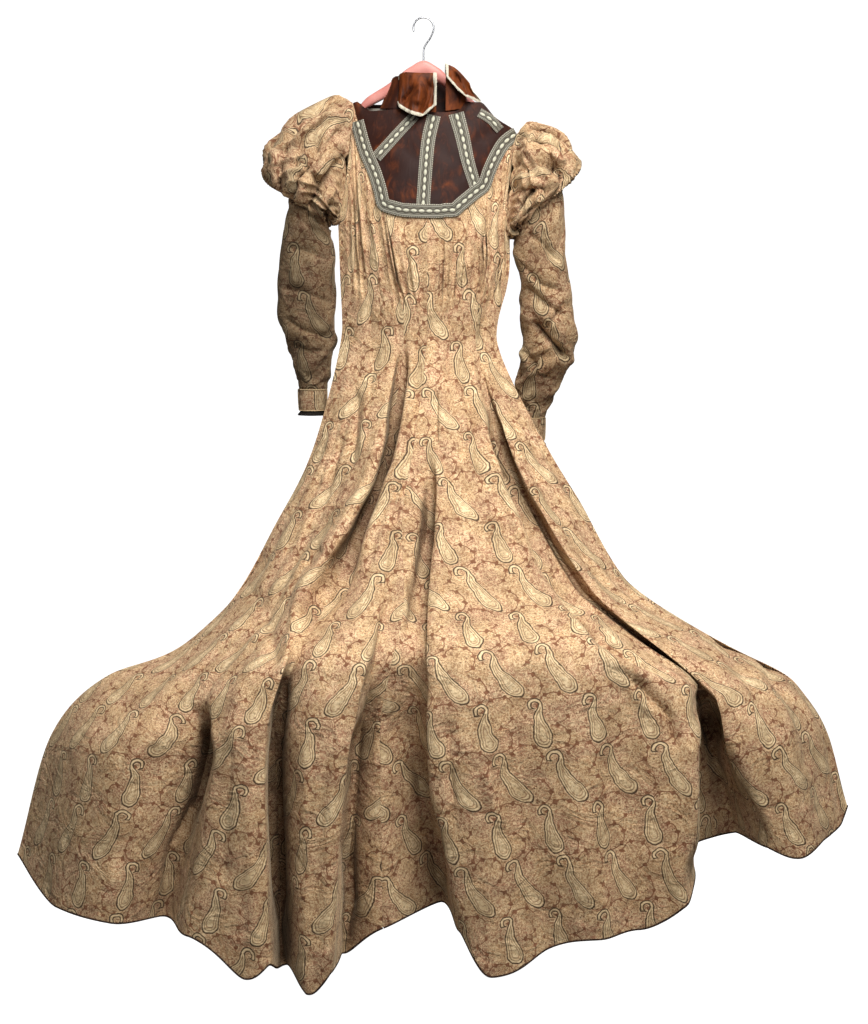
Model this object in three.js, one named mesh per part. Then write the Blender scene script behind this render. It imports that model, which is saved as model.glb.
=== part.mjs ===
// A tea gown in patterned velveteen with a velvet yoke, hung on a moulded hanger.
// Millimetres, +Z up, the front faces -Y; the origin is the inside top of the hanger's hook.
import * as THREE from 'three';

const CLOTH = 2.0;           // wall of the gown's cloth
const VELVET = 1.8;          // wall of yoke and collar
const BRAID = 1.4;           // wall of the flat trims
const SEAM = 0.3;            // clearance between sewn pieces
const BINDING_RADIUS = 2.6;  // cord sewn along the hem
const BODICE_PLEAT = 2.6;    // height of the bodice gathers
const BACK_FOLD = 26;        // height of the back folds at the hem
const BACK_FOLDS = 5;        // folds across the back
const BACK_DIP = 130;        // how much lower the back hem is than the hem at the side seams
const CORD_GAP = 4 * SEAM;   // from the cut edge of the hem to its cord
const YOKE_SEAM = 2.4 * SEAM;      // inset of the yoke from the neckline seam
const NECKLINE_LIFT = 2 * BRAID + 1.2;   // outer face of the neckline braid above the torso
const YOKE_BRAID_LIFT = BRAID + 0.6;
const TAB_LIFT = BRAID + 1.3;

const COLOURS = {
  cloth: new THREE.MeshStandardMaterial({ color: 0xb8956f, roughness: 0.85, metalness: 0 }),
  velvet: new THREE.MeshStandardMaterial({ color: 0x3c1a12, roughness: 0.7, metalness: 0 }),
  braid: new THREE.MeshStandardMaterial({ color: 0x8a8476, roughness: 0.8, metalness: 0 }),
  underCuff: new THREE.MeshStandardMaterial({ color: 0x15120f, roughness: 0.9, metalness: 0 }),
  binding: new THREE.MeshStandardMaterial({ color: 0x2e2018, roughness: 0.8, metalness: 0 }),
  tape: new THREE.MeshStandardMaterial({ color: 0xe6e0d2, roughness: 0.8, metalness: 0 }),
  hanger: new THREE.MeshStandardMaterial({ color: 0xc77f75, roughness: 0.45, metalness: 0 }),
  wire: new THREE.MeshStandardMaterial({ color: 0xb9bcc0, roughness: 0.3, metalness: 1 }),
};

// Sections down the gown, from the waist to the hem: how far forward the front stands in the
// middle and at the side seams, how squarely it turns the corner, and where the back stands.
// Heights are for the left side, the middle and the right side; the top section is the cut edge.
const SECTIONS = [
  { name: 'waist', leftZ: -584, midZ: -590, rightZ: -600, front: 75, side: 25, corner: 2.0, back: -25 },
  { name: 'thigh', leftZ: -821, midZ: -812, rightZ: -811, front: 170, side: 60, corner: 2.2, back: -30 },
  { name: 'knee', leftZ: -956, midZ: -934, rightZ: -914, front: 240, side: 90, corner: 2.5, back: -36 },
  { name: 'shin', leftZ: -1106, midZ: -1066, rightZ: -1060, front: 330, side: 130, corner: 3.0, back: -45 },
  { name: 'ledge', leftZ: -1248, midZ: -1172, rightZ: -1270, front: 435, side: 180, corner: 4.0, back: -56 },
  { name: 'drop', leftZ: -1350, midZ: -1307, rightZ: -1347, front: 452, side: 215, corner: 4.0, back: -66 },
  { name: 'hem', leftZ: -1573, midZ: -1700, rightZ: -1481, front: 465, side: 245, corner: 4.0, back: -80 },
];

// One row per fold line of the front, from the left side seam to the right one. Sideways place
// at every section, height of the cut edge, ledge and hem, and relief (crest +, valley -).
const FOLD_COLUMNS = ['topX', 'topZ', 'waist', 'thigh', 'knee', 'shin', 'ledge', 'drop', 'hem',
  'ledgeZ', 'hemZ', 'thighOut', 'kneeOut', 'shinOut', 'ledgeOut', 'dropOut', 'hemOut'];
const FOLD_ROWS = [
  [-165, -388, -159, -216, -279, -370, -600, -704, -769, -1250, -1573, 0, 0, 0, 0, 0, 0],
  [-152, -325, -145, -197, -253, -335, -533, -600, -668, -1248, -1639, 2, 4, 6, 10, 25, 30],
  [-144, -269, -131, -180, -230, -303, -468, -505, -556, -1246, -1643, 2, 4, 4, 6, 18, 15],
  [-138, -205, -119, -164, -209, -278, -410, -385, -480, -1246, -1659, -3, -5, -8, -14, -75, -95],
  [-136, -160, -107, -148, -189, -259, -372, -362, -415, -1240, -1646, 0, 0, 0, 6, 8, 10],
  [-113, -245, -80, -117, -167, -243, -316, -320, -311, -1212, -1709, 4, 6, 8, 16, 25, 30],
  [-92, -295, -53, -86, -144, -229, -247, -274, -268, -1183, -1685, 10, 24, 32, 18, 12, 18],
  [-82, -327, -38, -70, -116, -172, -228, -266, -254, -1174, -1742, -38, -46, -38, -22, -70, -70],
  [-75, -353, -26, -51, -83, -122, -169, -195, -204, -1173, -1742, -4, -4, 12, 14, 18, 25],
  [-54, -361, -16, -38, -62, -86, -100, -126, -160, -1172, -1698, 4, 6, 12, 8, 12, 15],
  [-37, -365, -7, -30, -52, -66, -86, -112, -146, -1172, -1716, 3, 2, 0, -30, -85, -100],
  [7, -367, 7, -19, -39, -34, -56, -76, -72, -1172, -1649, 0, -2, -2, -30, -62, -60],
  [31, -367, 24, 11, 7, -11, -16, -19, 33, -1172, -1628, -6, -20, -26, -42, -95, -130],
  [43, -365, 33, 27, 24, 9, 6, 2, 66, -1172, -1631, 6, 12, 18, 10, -4, -6],
  [56, -365, 43, 54, 72, 85, 100, 100, 119, -1167, -1710, 4, 8, 10, 16, 22, 25],
  [69, -355, 55, 75, 105, 130, 169, 161, 222, -1162, -1663, -5, -5, 0, 4, 0, -6],
  [82, -344, 66, 93, 133, 175, 256, 256, 310, -1158, -1637, 2, 4, 6, 14, 18, 20],
  [100, -329, 78, 111, 154, 219, 362, 365, 384, -1170, -1635, 3, 6, 6, 4, -10, -10],
  [115, -317, 90, 130, 177, 251, 468, 463, 468, -1212, -1583, 8, 14, 14, 14, 28, 24],
  [124, -293, 97, 147, 197, 274, 490, 503, 520, -1222, -1542, -24, -34, -32, -26, -130, -165],
  [132, -274, 103, 156, 206, 288, 503, 530, 592, -1228, -1536, -26, -34, -30, -38, -150, -175],
  [155, -235, 112, 166, 217, 307, 522, 542, 624, -1234, -1514, 6, 14, 18, 10, -4, -10],
  [179, -217, 121, 185, 238, 333, 587, 641, 684, -1236, -1539, 4, 6, 8, 14, 28, 32],
  [165, -259, 129, 201, 257, 350, 640, 704, 737, -1242, -1538, 2, 2, 4, 8, 16, 16],
  [160, -326, 136, 219, 276, 368, 676, 744, 779, -1252, -1519, 0, 0, 0, 2, 4, 4],
  [162, -410, 141, 236, 293, 382, 706, 764, 799, -1268, -1481, 0, 0, 0, 0, 0, 0],
];
const FOLDS = FOLD_ROWS.map((row) => (
  Object.fromEntries(row.map((size, i) => [FOLD_COLUMNS[i], size]))));
const LAST_FOLD = FOLDS.length - 1;
const CENTRE_SEAM = 11;      // the fold line that is also the seam down the centre front
const SHOULDER_FOLDS = [4, 22];   // fold lines that start at the shoulder points

// The torso above the waist: how far forward its front, sides and back stand at each height,
// and the middle and half of its width.
const TORSO = [
  { z: -600, front: 75, side: 25, back: -25, middle: -9, half: 152 },
  { z: -500, front: 86, side: 25, back: -28, middle: -3.5, half: 160.5 },
  { z: -420, front: 92, side: 25, back: -30, middle: -0.5, half: 165.5 },
  { z: -367, front: 88, side: 24, back: -30, middle: 1, half: 169 },
  { z: -320, front: 80, side: 22, back: -30, middle: 0, half: 172 },
  { z: -270, front: 69, side: 20, back: -29, middle: 8, half: 173 },
  { z: -220, front: 56, side: 18, back: -27, middle: 13, half: 166 },
  { z: -180, front: 43, side: 18, back: -24, middle: 20, half: 165 },
  { z: -140, front: 32, side: 18, back: -20, middle: 27, half: 150 },
];

// Top edge of the back from the left armpit over both shoulder points to the right armpit.
const BACK_TOP = [
  { across: 0.00, x: -165, z: -388 },
  { across: 0.08, x: -150, z: -300 },
  { across: 0.16, x: -138, z: -205 },
  { across: 0.20, x: -136, z: -162 },
  { across: 0.32, x: -92, z: -240 },
  { across: 0.50, x: 22, z: -285 },
  { across: 0.68, x: 136, z: -258 },
  { across: 0.80, x: 177, z: -217 },
  { across: 0.84, x: 173, z: -245 },
  { across: 0.92, x: 164, z: -330 },
  { across: 1.00, x: 162, z: -410 },
];
const BACK_SHOULDERS = [0.20, 0.80];

// Neck opening of the yoke, front then back, from the left shoulder to the right one.
const FRONT_NECK = [
  { x: -127, z: -157 }, { x: -98, z: -176 }, { x: -57, z: -174 }, { x: -30, z: -177 },
  { x: 0, z: -180 }, { x: 34, z: -180 }, { x: 62, z: -177 }, { x: 84, z: -171 },
  { x: 112, z: -172 }, { x: 140, z: -190 }, { x: 171, z: -208 },
];
const BACK_NECK = [
  { x: -127, z: -158 }, { x: -80, z: -158 }, { x: -30, z: -156 }, { x: 22, z: -155 },
  { x: 74, z: -158 }, { x: 124, z: -172 }, { x: 166, z: -205 },
];

// Rings of each sleeve from the armhole to the wrist: middle, tilt of the ring's long axis above
// level, half length of that axis, half depth, how far forward, and how deep its pleats are.
const LEFT_SLEEVE = [
  { x: -151, z: -274, tilt: 97.4, half: 116, depth: 23, forward: 19, pleat: 0 },
  { x: -170, z: -265, tilt: 91, half: 121, depth: 52, forward: 24, pleat: 4 },
  { x: -195, z: -273, tilt: 79, half: 114, depth: 70, forward: 27, pleat: 6 },
  { x: -225, z: -290, tilt: 62, half: 106, depth: 76, forward: 26, pleat: 6 },
  { x: -243, z: -316, tilt: 45, half: 93, depth: 73, forward: 24, pleat: 5 },
  { x: -240, z: -345, tilt: 33, half: 73, depth: 62, forward: 22, pleat: 4 },
  { x: -228, z: -357, tilt: 33, half: 56, depth: 48, forward: 20, pleat: 2 },
  { x: -220, z: -362, tilt: 38, half: 49, depth: 41, forward: 18, pleat: 1 },
  { x: -222, z: -376, tilt: 32, half: 47, depth: 41, forward: 17, pleat: 0 },
  { x: -227, z: -418, tilt: 8, half: 45, depth: 40, forward: 12, pleat: 0 },
  { x: -235, z: -505, tilt: 0, half: 53, depth: 40, forward: 4, pleat: 0 },
  { x: -230, z: -585, tilt: 0, half: 49, depth: 38, forward: -4, pleat: 0 },
  { x: -223, z: -630, tilt: 0, half: 41, depth: 35, forward: -9, pleat: 0 },
  { x: -217, z: -680, tilt: 0, half: 31, depth: 29, forward: -15, pleat: 0 },
  { x: -216, z: -708, tilt: 0, half: 28, depth: 26, forward: -18, pleat: 0 },
];
const RIGHT_SLEEVE = [
  { x: 171.1, z: -314, tilt: 84.7, half: 98, depth: 23, forward: 19, pleat: 0 },
  { x: 186, z: -303, tilt: 81, half: 108, depth: 50, forward: 28, pleat: 3 },
  { x: 210, z: -306, tilt: 69, half: 110, depth: 64, forward: 27, pleat: 5 },
  { x: 231, z: -322, tilt: 55, half: 103, depth: 68, forward: 25, pleat: 5 },
  { x: 236, z: -338, tilt: 45, half: 90, depth: 64, forward: 22, pleat: 4 },
  { x: 226, z: -354, tilt: 42, half: 72, depth: 54, forward: 19, pleat: 2 },
  { x: 221, z: -364, tilt: 42, half: 62, depth: 46, forward: 17, pleat: 1 },
  { x: 223, z: -380, tilt: 34, half: 58, depth: 44, forward: 15, pleat: 0 },
  { x: 225, z: -434, tilt: 8, half: 50, depth: 42, forward: 12, pleat: 0 },
  { x: 237, z: -510, tilt: 0, half: 47, depth: 40, forward: 5, pleat: 0 },
  { x: 241, z: -560, tilt: 0, half: 51, depth: 40, forward: 0, pleat: 0 },
  { x: 244, z: -618, tilt: 0, half: 50, depth: 38, forward: -8, pleat: 0 },
  { x: 240, z: -652, tilt: 0, half: 51, depth: 36, forward: -18, pleat: 0 },
  { x: 227, z: -696, tilt: 0, half: 43, depth: 30, forward: -38, pleat: 0 },
  { x: 219, z: -736, tilt: 0, half: 34, depth: 28, forward: -55, pleat: 0 },
  { x: 215, z: -768, tilt: 0, half: 28, depth: 26, forward: -66, pleat: 0 },
];
const SLEEVE_PLEATS = 8;

// Cuffs: height of their upper and lower edges, middle, half width and half depth.
const CUFFS = {
  left: { x: -216, forward: -18, topZ: -708.8, endZ: -752, half: 28, depth: 26, taper: 4 },
  right: { x: 215, forward: -66, topZ: -768.8, endZ: -815, half: 28, depth: 26, taper: 2 },
};
const CUFF_OPENING = 0.16;   // half the angle left open at each side of a cuff
const INNER_CUFF_FLARE = 6;

// Braids on the yoke: the line each follows from the neck down, and its width at both ends.
const YOKE_BRAIDS = {
  yoke_braid_left: { widths: [20, 22], line: [[-20, -197], [-48, -215], [-82, -255]] },
  yoke_braid_centre: { widths: [26, 26], line: [[16, -208], [8, -245], [4, -288], [-1, -352]] },
  yoke_braid_right: { widths: [30, 23], line: [[66, -196], [74, -226], [84, -272], [95, -312]] },
  yoke_braid_shoulder: { widths: [18, 18], line: [[106, -180], [127, -192], [146, -212]] },
};
const NECKLINE_BRAID = 26;   // width of the braid around the yoke

// Collar halves: a stand that rises from the neck, turns over and falls in a ruffle.
const COLLARS = {
  collar_left: {
    plan: [{ x: -48, forward: 22 }, { x: -44, forward: 32 }, { x: -30, forward: 39 },
      { x: -12, forward: 43 }, { x: 10, forward: 44 }],
    rise: [62, 68, 72, 72, 70], fall: [50, 62, 74, 78, 70], base: -172.3, drop: 8, waves: 3,
  },
  collar_right: {
    plan: [{ x: 80, forward: 24 }, { x: 78, forward: 33 }, { x: 68, forward: 39 },
      { x: 56, forward: 42 }, { x: 42, forward: 44 }],
    rise: [36, 50, 66, 78, 86], fall: [34, 44, 56, 60, 40], base: -169.3, drop: 8, waves: 2,
  },
};
const RUFFLE = 6;

// The hanger: middle line of its arms, with the half height and half depth of the section.
const HANGER_ARMS = [
  { x: -121, z: -166, high: 6, deep: 4 },
  { x: -108, z: -157, high: 10, deep: 6 },
  { x: -66, z: -133, high: 12, deep: 9 },
  { x: -28, z: -106, high: 14, deep: 10 },
  { x: 0, z: -95, high: 16, deep: 11 },
  { x: 28, z: -106, high: 14, deep: 10 },
  { x: 66, z: -140, high: 12, deep: 9 },
  { x: 120, z: -184, high: 9, deep: 7 },
  { x: 158, z: -220, high: 7, deep: 5 },
];
const HANGER_FORWARD = 3.4;    // middle of the arms in front of the hook
const WIRE_RADIUS = 1.6;
const HOOK_RADIUS = 19.5;    // middle of the wire, round the top of the hook

// Monotone cubic through evenly numbered values, so crests and valleys never overshoot.
function smooth(values, place) {
  const last = values.length - 1;
  const spot = Math.min(Math.max(place, 0), last);
  const i = Math.min(Math.floor(spot), last - 1);
  const step = (k) => values[k + 1] - values[k];
  const slope = (k) => {
    if (k === 0) return step(0);
    if (k === last) return step(last - 1);
    const before = step(k - 1);
    const after = step(k);
    return before * after <= 0 ? 0 : (2 * before * after) / (before + after);
  };
  const t = spot - i;
  const ease = t * t * (3 - 2 * t);
  const lead = t * (1 - t) * (1 - t);
  const trail = -t * t * (1 - t);
  return values[i] + step(i) * ease + slope(i) * lead + slope(i + 1) * trail;
}

// Value of a named column of a table at a place between its rows.
const column = (table, name, place) => smooth(table.map((row) => row[name]), place);

// Place between the rows of a table whose key column runs one way.
function placeOf(table, key, value) {
  const last = table.length - 1;
  const rising = table[last][key] > table[0][key];
  for (let i = 0; i < last; i += 1) {
    const from = table[i][key];
    const to = table[i + 1][key];
    const reached = rising ? value <= to : value >= to;
    if (reached) return i + Math.max(0, (value - from) / (to - from));
  }
  return last;
}

// How far forward the torso stands at a point of its front or back.
function torsoForward(x, z, side = 'front') {
  const place = placeOf(TORSO, 'z', z);
  const t = Math.min(1, Math.abs(x - column(TORSO, 'middle', place)) / column(TORSO, 'half', place));
  const middle = column(TORSO, side, place);
  const corner = side === 'front' ? 2.4 : 10;
  return middle + (column(TORSO, 'side', place) - middle) * t ** corner;
}
const onTorso = (x, z, lift = 0, side = 'front') => {
  const sign = side === 'front' ? -1 : 1;
  return new THREE.Vector3(x, -torsoForward(x, z, side) + sign * lift, z);
};

// Points of one fold line at the cut edge, the bust and every section.
function foldStations(fold) {
  const bustX = 0.45 * fold.topX + 0.55 * fold.waist;
  const bustZ = 0.45 * fold.topZ + 0.55 * SECTIONS[0].midZ;
  const points = [onTorso(fold.topX, fold.topZ), onTorso(bustX, bustZ)];
  for (const section of SECTIONS) {
    const left = FOLDS[0][section.name];
    const right = FOLDS[LAST_FOLD][section.name];
    const x = fold[section.name];
    const t = (2 * x - left - right) / (right - left);
    const sideZ = t < 0 ? section.leftZ : section.rightZ;
    const ownZ = { ledge: fold.ledgeZ, hem: fold.hemZ }[section.name];
    const z = ownZ ?? section.midZ + (sideZ - section.midZ) * t * t;
    const relief = fold[`${section.name}Out`] ?? 0;
    const forward = section.side + (section.front - section.side) * (1 - Math.abs(t) ** section.corner);
    points.push(new THREE.Vector3(x, -forward - relief, z));
  }
  return points;
}
const STATIONS = FOLDS.map(foldStations);
const LAST_STATION = STATIONS[0].length - 1;
const WAIST_STATION = 2;

// The front of the gown: `fold` counts fold lines across, `down` counts stations to the hem.
function frontPoint(fold, down) {
  const along = (axis) => {
    const acrossStations = Array.from({ length: LAST_STATION + 1 }, (_, s) => (
      smooth(STATIONS.map((line) => line[s][axis]), fold)));
    return smooth(acrossStations, down);
  };
  const x = along('x');
  const z = along('z');
  const skirtShare = THREE.MathUtils.smoothstep(down, WAIST_STATION - 0.4, WAIST_STATION + 0.5);
  const edge = Math.min(1, Math.min(fold, LAST_FOLD - fold) / 3);
  const gathered = Math.sin((Math.PI * Math.min(down, WAIST_STATION)) / WAIST_STATION) ** 2;
  const bodice = onTorso(x, z, BODICE_PLEAT * gathered * edge * Math.cos(2 * Math.PI * fold));
  bodice.y += (along('y') - bodice.y) * skirtShare;
  return bodice;
}

// The back: the same side seams, a flatter middle and soft folds that deepen to the hem.
function backPoint(across, down) {
  const left = frontPoint(0, down);
  const right = frontPoint(LAST_FOLD, down);
  const t = 2 * across - 1;
  const place = placeOf(BACK_TOP, 'across', across);
  const top = onTorso(column(BACK_TOP, 'x', place), column(BACK_TOP, 'z', place), 0, 'back');
  const below = new THREE.Vector3().lerpVectors(left, right, across);
  const deep = Math.max(0, (down - WAIST_STATION) / (LAST_STATION - WAIST_STATION));
  const backForward = column(SECTIONS, 'back', Math.max(0, down - WAIST_STATION));
  const fold = BACK_FOLD * deep * (1 - t ** 4) * Math.cos(2 * Math.PI * BACK_FOLDS * across);
  const outward = -backForward + fold;
  below.y = outward + (below.y - outward) * Math.abs(t) ** 4;
  below.z -= BACK_DIP * deep ** 3 * (1 - t ** 4);
  if (down >= WAIST_STATION) return below;
  const waist = backPoint(across, WAIST_STATION);
  const point = new THREE.Vector3().lerpVectors(top, waist, smooth([0, 0.55, 1], down));
  const side = new THREE.Vector3().lerpVectors(left, right, across);
  const backY = -torsoForward(point.x, point.z, 'back');
  const nearSide = Math.abs(t) ** 12;
  point.y = backY + (side.y - backY) * nearSide;
  if (across === 0 || across === 1) point.copy(side);
  return point;
}

// Mesh of a closed solid from its vertices and triangles, turned so its faces point outward.
function solidMesh(name, material, vertices, faces) {
  const sixfold = (face) => {
    const [a, b, c] = face.map((index) => vertices[index]);
    return b.clone().cross(c).dot(a);
  };
  const volume = faces.reduce((total, face) => total + sixfold(face), 0);
  if (volume < 0) faces.forEach((face) => face.reverse());
  const geometry = new THREE.BufferGeometry();
  const numbers = vertices.flatMap((p) => [p.x, p.y, p.z]);
  geometry.setAttribute('position', new THREE.Float32BufferAttribute(numbers, 3));
  geometry.setIndex(faces.flat());
  geometry.computeVertexNormals();
  const mesh = new THREE.Mesh(geometry, material);
  mesh.name = name;
  return mesh;
}

// A cloth wall from rows of outer points and the outward direction at each; rows of a tube close.
function clothWall(name, material, rows, outward, thickness, tube = false) {
  const count = rows[0].length;
  const outer = rows.flat();
  const inner = rows.flatMap((row, j) => row.map((p, i) => (
    p.clone().addScaledVector(outward[j][i], -thickness))));
  const faces = [];
  const at = (j, i) => j * count + (i % count);
  const inside = (index) => index + outer.length;
  const spans = tube ? count : count - 1;
  const quad = (a, b, c, d) => faces.push([a, b, c], [a, c, d]);
  for (let j = 0; j < rows.length - 1; j += 1) {
    for (let i = 0; i < spans; i += 1) {
      const [a, b, c, d] = [at(j, i), at(j + 1, i), at(j + 1, i + 1), at(j, i + 1)];
      quad(a, b, c, d);
      quad(inside(a), inside(d), inside(c), inside(b));
    }
  }
  const last = rows.length - 1;
  for (let i = 0; i < spans; i += 1) {
    quad(at(0, i), at(0, i + 1), inside(at(0, i + 1)), inside(at(0, i)));
    quad(at(last, i + 1), at(last, i), inside(at(last, i)), inside(at(last, i + 1)));
  }
  if (!tube) {
    for (let j = 0; j < last; j += 1) {
      quad(at(j + 1, 0), at(j, 0), inside(at(j, 0)), inside(at(j + 1, 0)));
      const end = count - 1;
      quad(at(j, end), at(j + 1, end), inside(at(j + 1, end)), inside(at(j, end)));
    }
  }
  return solidMesh(name, material, [...outer, ...inner], faces);
}

// Outward directions of a grid of points, from its neighbours; rows of a tube close.
function gridOutward(rows, tube = false) {
  const count = rows[0].length;
  return rows.map((row, j) => row.map((_, i) => {
    const before = tube ? row[(i + count - 1) % count] : row[Math.max(0, i - 1)];
    const after = tube ? row[(i + 1) % count] : row[Math.min(count - 1, i + 1)];
    const above = rows[Math.max(0, j - 1)][i];
    const below = rows[Math.min(rows.length - 1, j + 1)][i];
    const across = after.clone().sub(before);
    const down = below.clone().sub(above);
    return down.cross(across).normalize();
  }));
}

// Evenly spaced numbers from one value to another, both included.
const spread = (from, to, steps) => (
  Array.from({ length: steps + 1 }, (_, i) => from + ((to - from) * i) / steps));

// Outward directions of a surface given as a function of two places.
function surfaceOutward(surface, a, b, lastB) {
  const step = 0.02;
  const across = surface(a + step, b).sub(surface(a - step, b));
  const down = surface(a, Math.min(lastB, b + step)).sub(surface(a, Math.max(0, b - step)));
  return down.cross(across).normalize();
}

const DOWN_STEPS = [0, 0.3, 0.7, 1.1, 1.5, 2, 2.5, 3, 3.5, 4, 4.5, 5, 5.4, 5.75, 6, 6.3, 6.7, 7.2,
  7.6, 8];
const BACK_STEPS = 20;       // columns of the back, which meet the shoulder points

// One half of the front, between a side seam and the centre front seam.
function frontPanel(name, from, to) {
  const places = spread(from, to, Math.round((to - from) * 2));
  const toSide = from === 0 ? -1 : 1;
  const rows = DOWN_STEPS.map((down) => places.map((fold) => {
    const point = frontPoint(fold, down);
    if (fold === CENTRE_SEAM) point.x += (toSide * SEAM) / 1.6;
    return point;
  }));
  const outward = DOWN_STEPS.map((down) => places.map((fold) => {
    if (fold === 0 || fold === LAST_FOLD) return new THREE.Vector3(toSide, 0, 0);
    return surfaceOutward(frontPoint, fold, down, LAST_STATION);
  }));
  return clothWall(name, COLOURS.cloth, rows, outward, CLOTH);
}

// The back panel, cut in one; its side edges stand a seam's clearance behind the front.
function backPanel() {
  const places = spread(1, 0, BACK_STEPS);
  const rows = DOWN_STEPS.map((down) => places.map((across) => {
    const point = backPoint(across, down);
    if (across === 0 || across === 1) point.y += SEAM * 1.3;
    return point;
  }));
  const outward = gridOutward(rows);
  for (const row of outward) {
    row[0].set(1, 0, 0);
    row[row.length - 1].set(-1, 0, 0);
  }
  return clothWall('gown_back', COLOURS.cloth, rows, outward, CLOTH);
}

// A ring of a sleeve; `turn` runs round it and `sideSign` is -1 on the left.
function sleevePoint(table, sideSign, place, turn) {
  const size = (name) => column(table, name, place);
  const tilt = THREE.MathUtils.degToRad(size('tilt'));
  const pleat = size('pleat') * Math.cos(SLEEVE_PLEATS * turn);
  const along = (size('half') + pleat) * Math.cos(turn);
  const deep = (size('depth') + pleat) * Math.sin(turn);
  return new THREE.Vector3(
    size('x') + sideSign * Math.cos(tilt) * along,
    -size('forward') - deep,
    size('z') + Math.sin(tilt) * along,
  );
}

function sleeve(name, table, sideSign) {
  const turns = spread(0, 2 * Math.PI, 24).slice(0, -1);
  const places = [...spread(0, 8, 10), ...spread(8.9, table.length - 1, 6)];
  const rows = places.map((place) => (
    turns.map((turn) => sleevePoint(table, sideSign, place, sideSign * -turn))));
  const outward = gridOutward(rows, true);
  return clothWall(name, COLOURS.cloth, rows, outward, CLOTH, true);
}

// A cuff: patterned halves in front and behind, over a dark inner cuff that flares below them.
function cuffPieces(side, { x, forward, topZ, endZ, half, depth, taper }) {
  const arc = (z, grow, turns) => turns.map((turn) => new THREE.Vector3(
    x - (half + grow) * Math.cos(turn), -forward - (depth + grow) * Math.sin(turn), z));
  const around = spread(0, 2 * Math.PI, 18).slice(0, -1);
  const under = -BRAID - 0.8;
  const innerRows = [
    arc(topZ - 2, under, around),
    arc(endZ, under - taper, around),
    arc(endZ - 9, under - taper + INNER_CUFF_FLARE, around),
  ];
  const inner = clothWall(`cuff_${side}_inner`, COLOURS.underCuff, innerRows,
    gridOutward(innerRows, true), CLOTH, true);
  const patterned = (name, from, to) => {
    const turns = spread(from, to, 10);
    const rows = [arc(topZ, 0, turns), arc(endZ + 1, -taper, turns)];
    return clothWall(name, COLOURS.cloth, rows, gridOutward(rows), BRAID);
  };
  return [inner, patterned(`cuff_${side}_front`, CUFF_OPENING, Math.PI - CUFF_OPENING),
    patterned(`cuff_${side}_back`, Math.PI + CUFF_OPENING, 2 * Math.PI - CUFF_OPENING)];
}

// A velvet yoke between the neckline seam and the neck opening.
function yoke(name, seamLine, neck, side) {
  const seam = insetLine(seamLine, YOKE_SEAM);
  const rows = spread(0, 1, 4).map((inward) => seam.map((spot, i) => {
    const place = (i / (seam.length - 1)) * (neck.length - 1);
    const x = spot.x + (column(neck, 'x', place) - spot.x) * inward;
    const z = spot.z + (column(neck, 'z', place) - spot.z) * inward;
    return onTorso(x, z, 0, side);
  }));
  if (side === 'front') rows.reverse();
  return clothWall(name, COLOURS.velvet, rows, gridOutward(rows), VELVET);
}

// A line moved sideways in the upright plane, towards the neck.
function insetLine(line, inset) {
  return line.map((spot, i) => {
    const before = line[Math.max(0, i - 1)];
    const after = line[Math.min(line.length - 1, i + 1)];
    const run = Math.hypot(after.x - before.x, after.z - before.z);
    return {
      x: spot.x - (inset * (after.z - before.z)) / run,
      z: spot.z + (inset * (after.x - before.x)) / run,
    };
  });
}

// The seams between yoke and gown, at the same places as the columns of the panels.
const frontSeamLine = spread(...SHOULDER_FOLDS, 2 * (SHOULDER_FOLDS[1] - SHOULDER_FOLDS[0]))
  .map((fold) => ({ x: column(FOLDS, 'topX', fold), z: column(FOLDS, 'topZ', fold) }));
const backSeamLine = spread(...BACK_SHOULDERS, BACK_STEPS * (BACK_SHOULDERS[1] - BACK_SHOULDERS[0]))
  .map((across) => {
    const place = placeOf(BACK_TOP, 'across', across);
    return { x: column(BACK_TOP, 'x', place), z: column(BACK_TOP, 'z', place) };
  });

// A flat braid that follows a line on the torso, lifted clear of what lies under it.
function torsoBraid(name, line, widthAt, lift, side = 'front') {
  const last = line.length - 1;
  const rows = [-0.5, 0, 0.5].map((edge) => line.map((_, i) => {
    const spot = insetLine(line, widthAt(i / last) * edge)[i];
    return onTorso(spot.x, spot.z, lift, side);
  }));
  if (side === 'front') rows.reverse();
  return clothWall(name, COLOURS.braid, rows, gridOutward(rows), BRAID);
}

function yokeBraids() {
  return Object.entries(YOKE_BRAIDS).map(([name, { widths, line }]) => {
    const points = line.map(([x, z]) => ({ x, z }));
    const path = spread(0, points.length - 1, 8).map((place) => (
      { x: column(points, 'x', place), z: column(points, 'z', place) }));
    const widthAt = (along) => widths[0] + (widths[1] - widths[0]) * along;
    return torsoBraid(name, path, widthAt, YOKE_BRAID_LIFT);
  });
}

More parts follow.
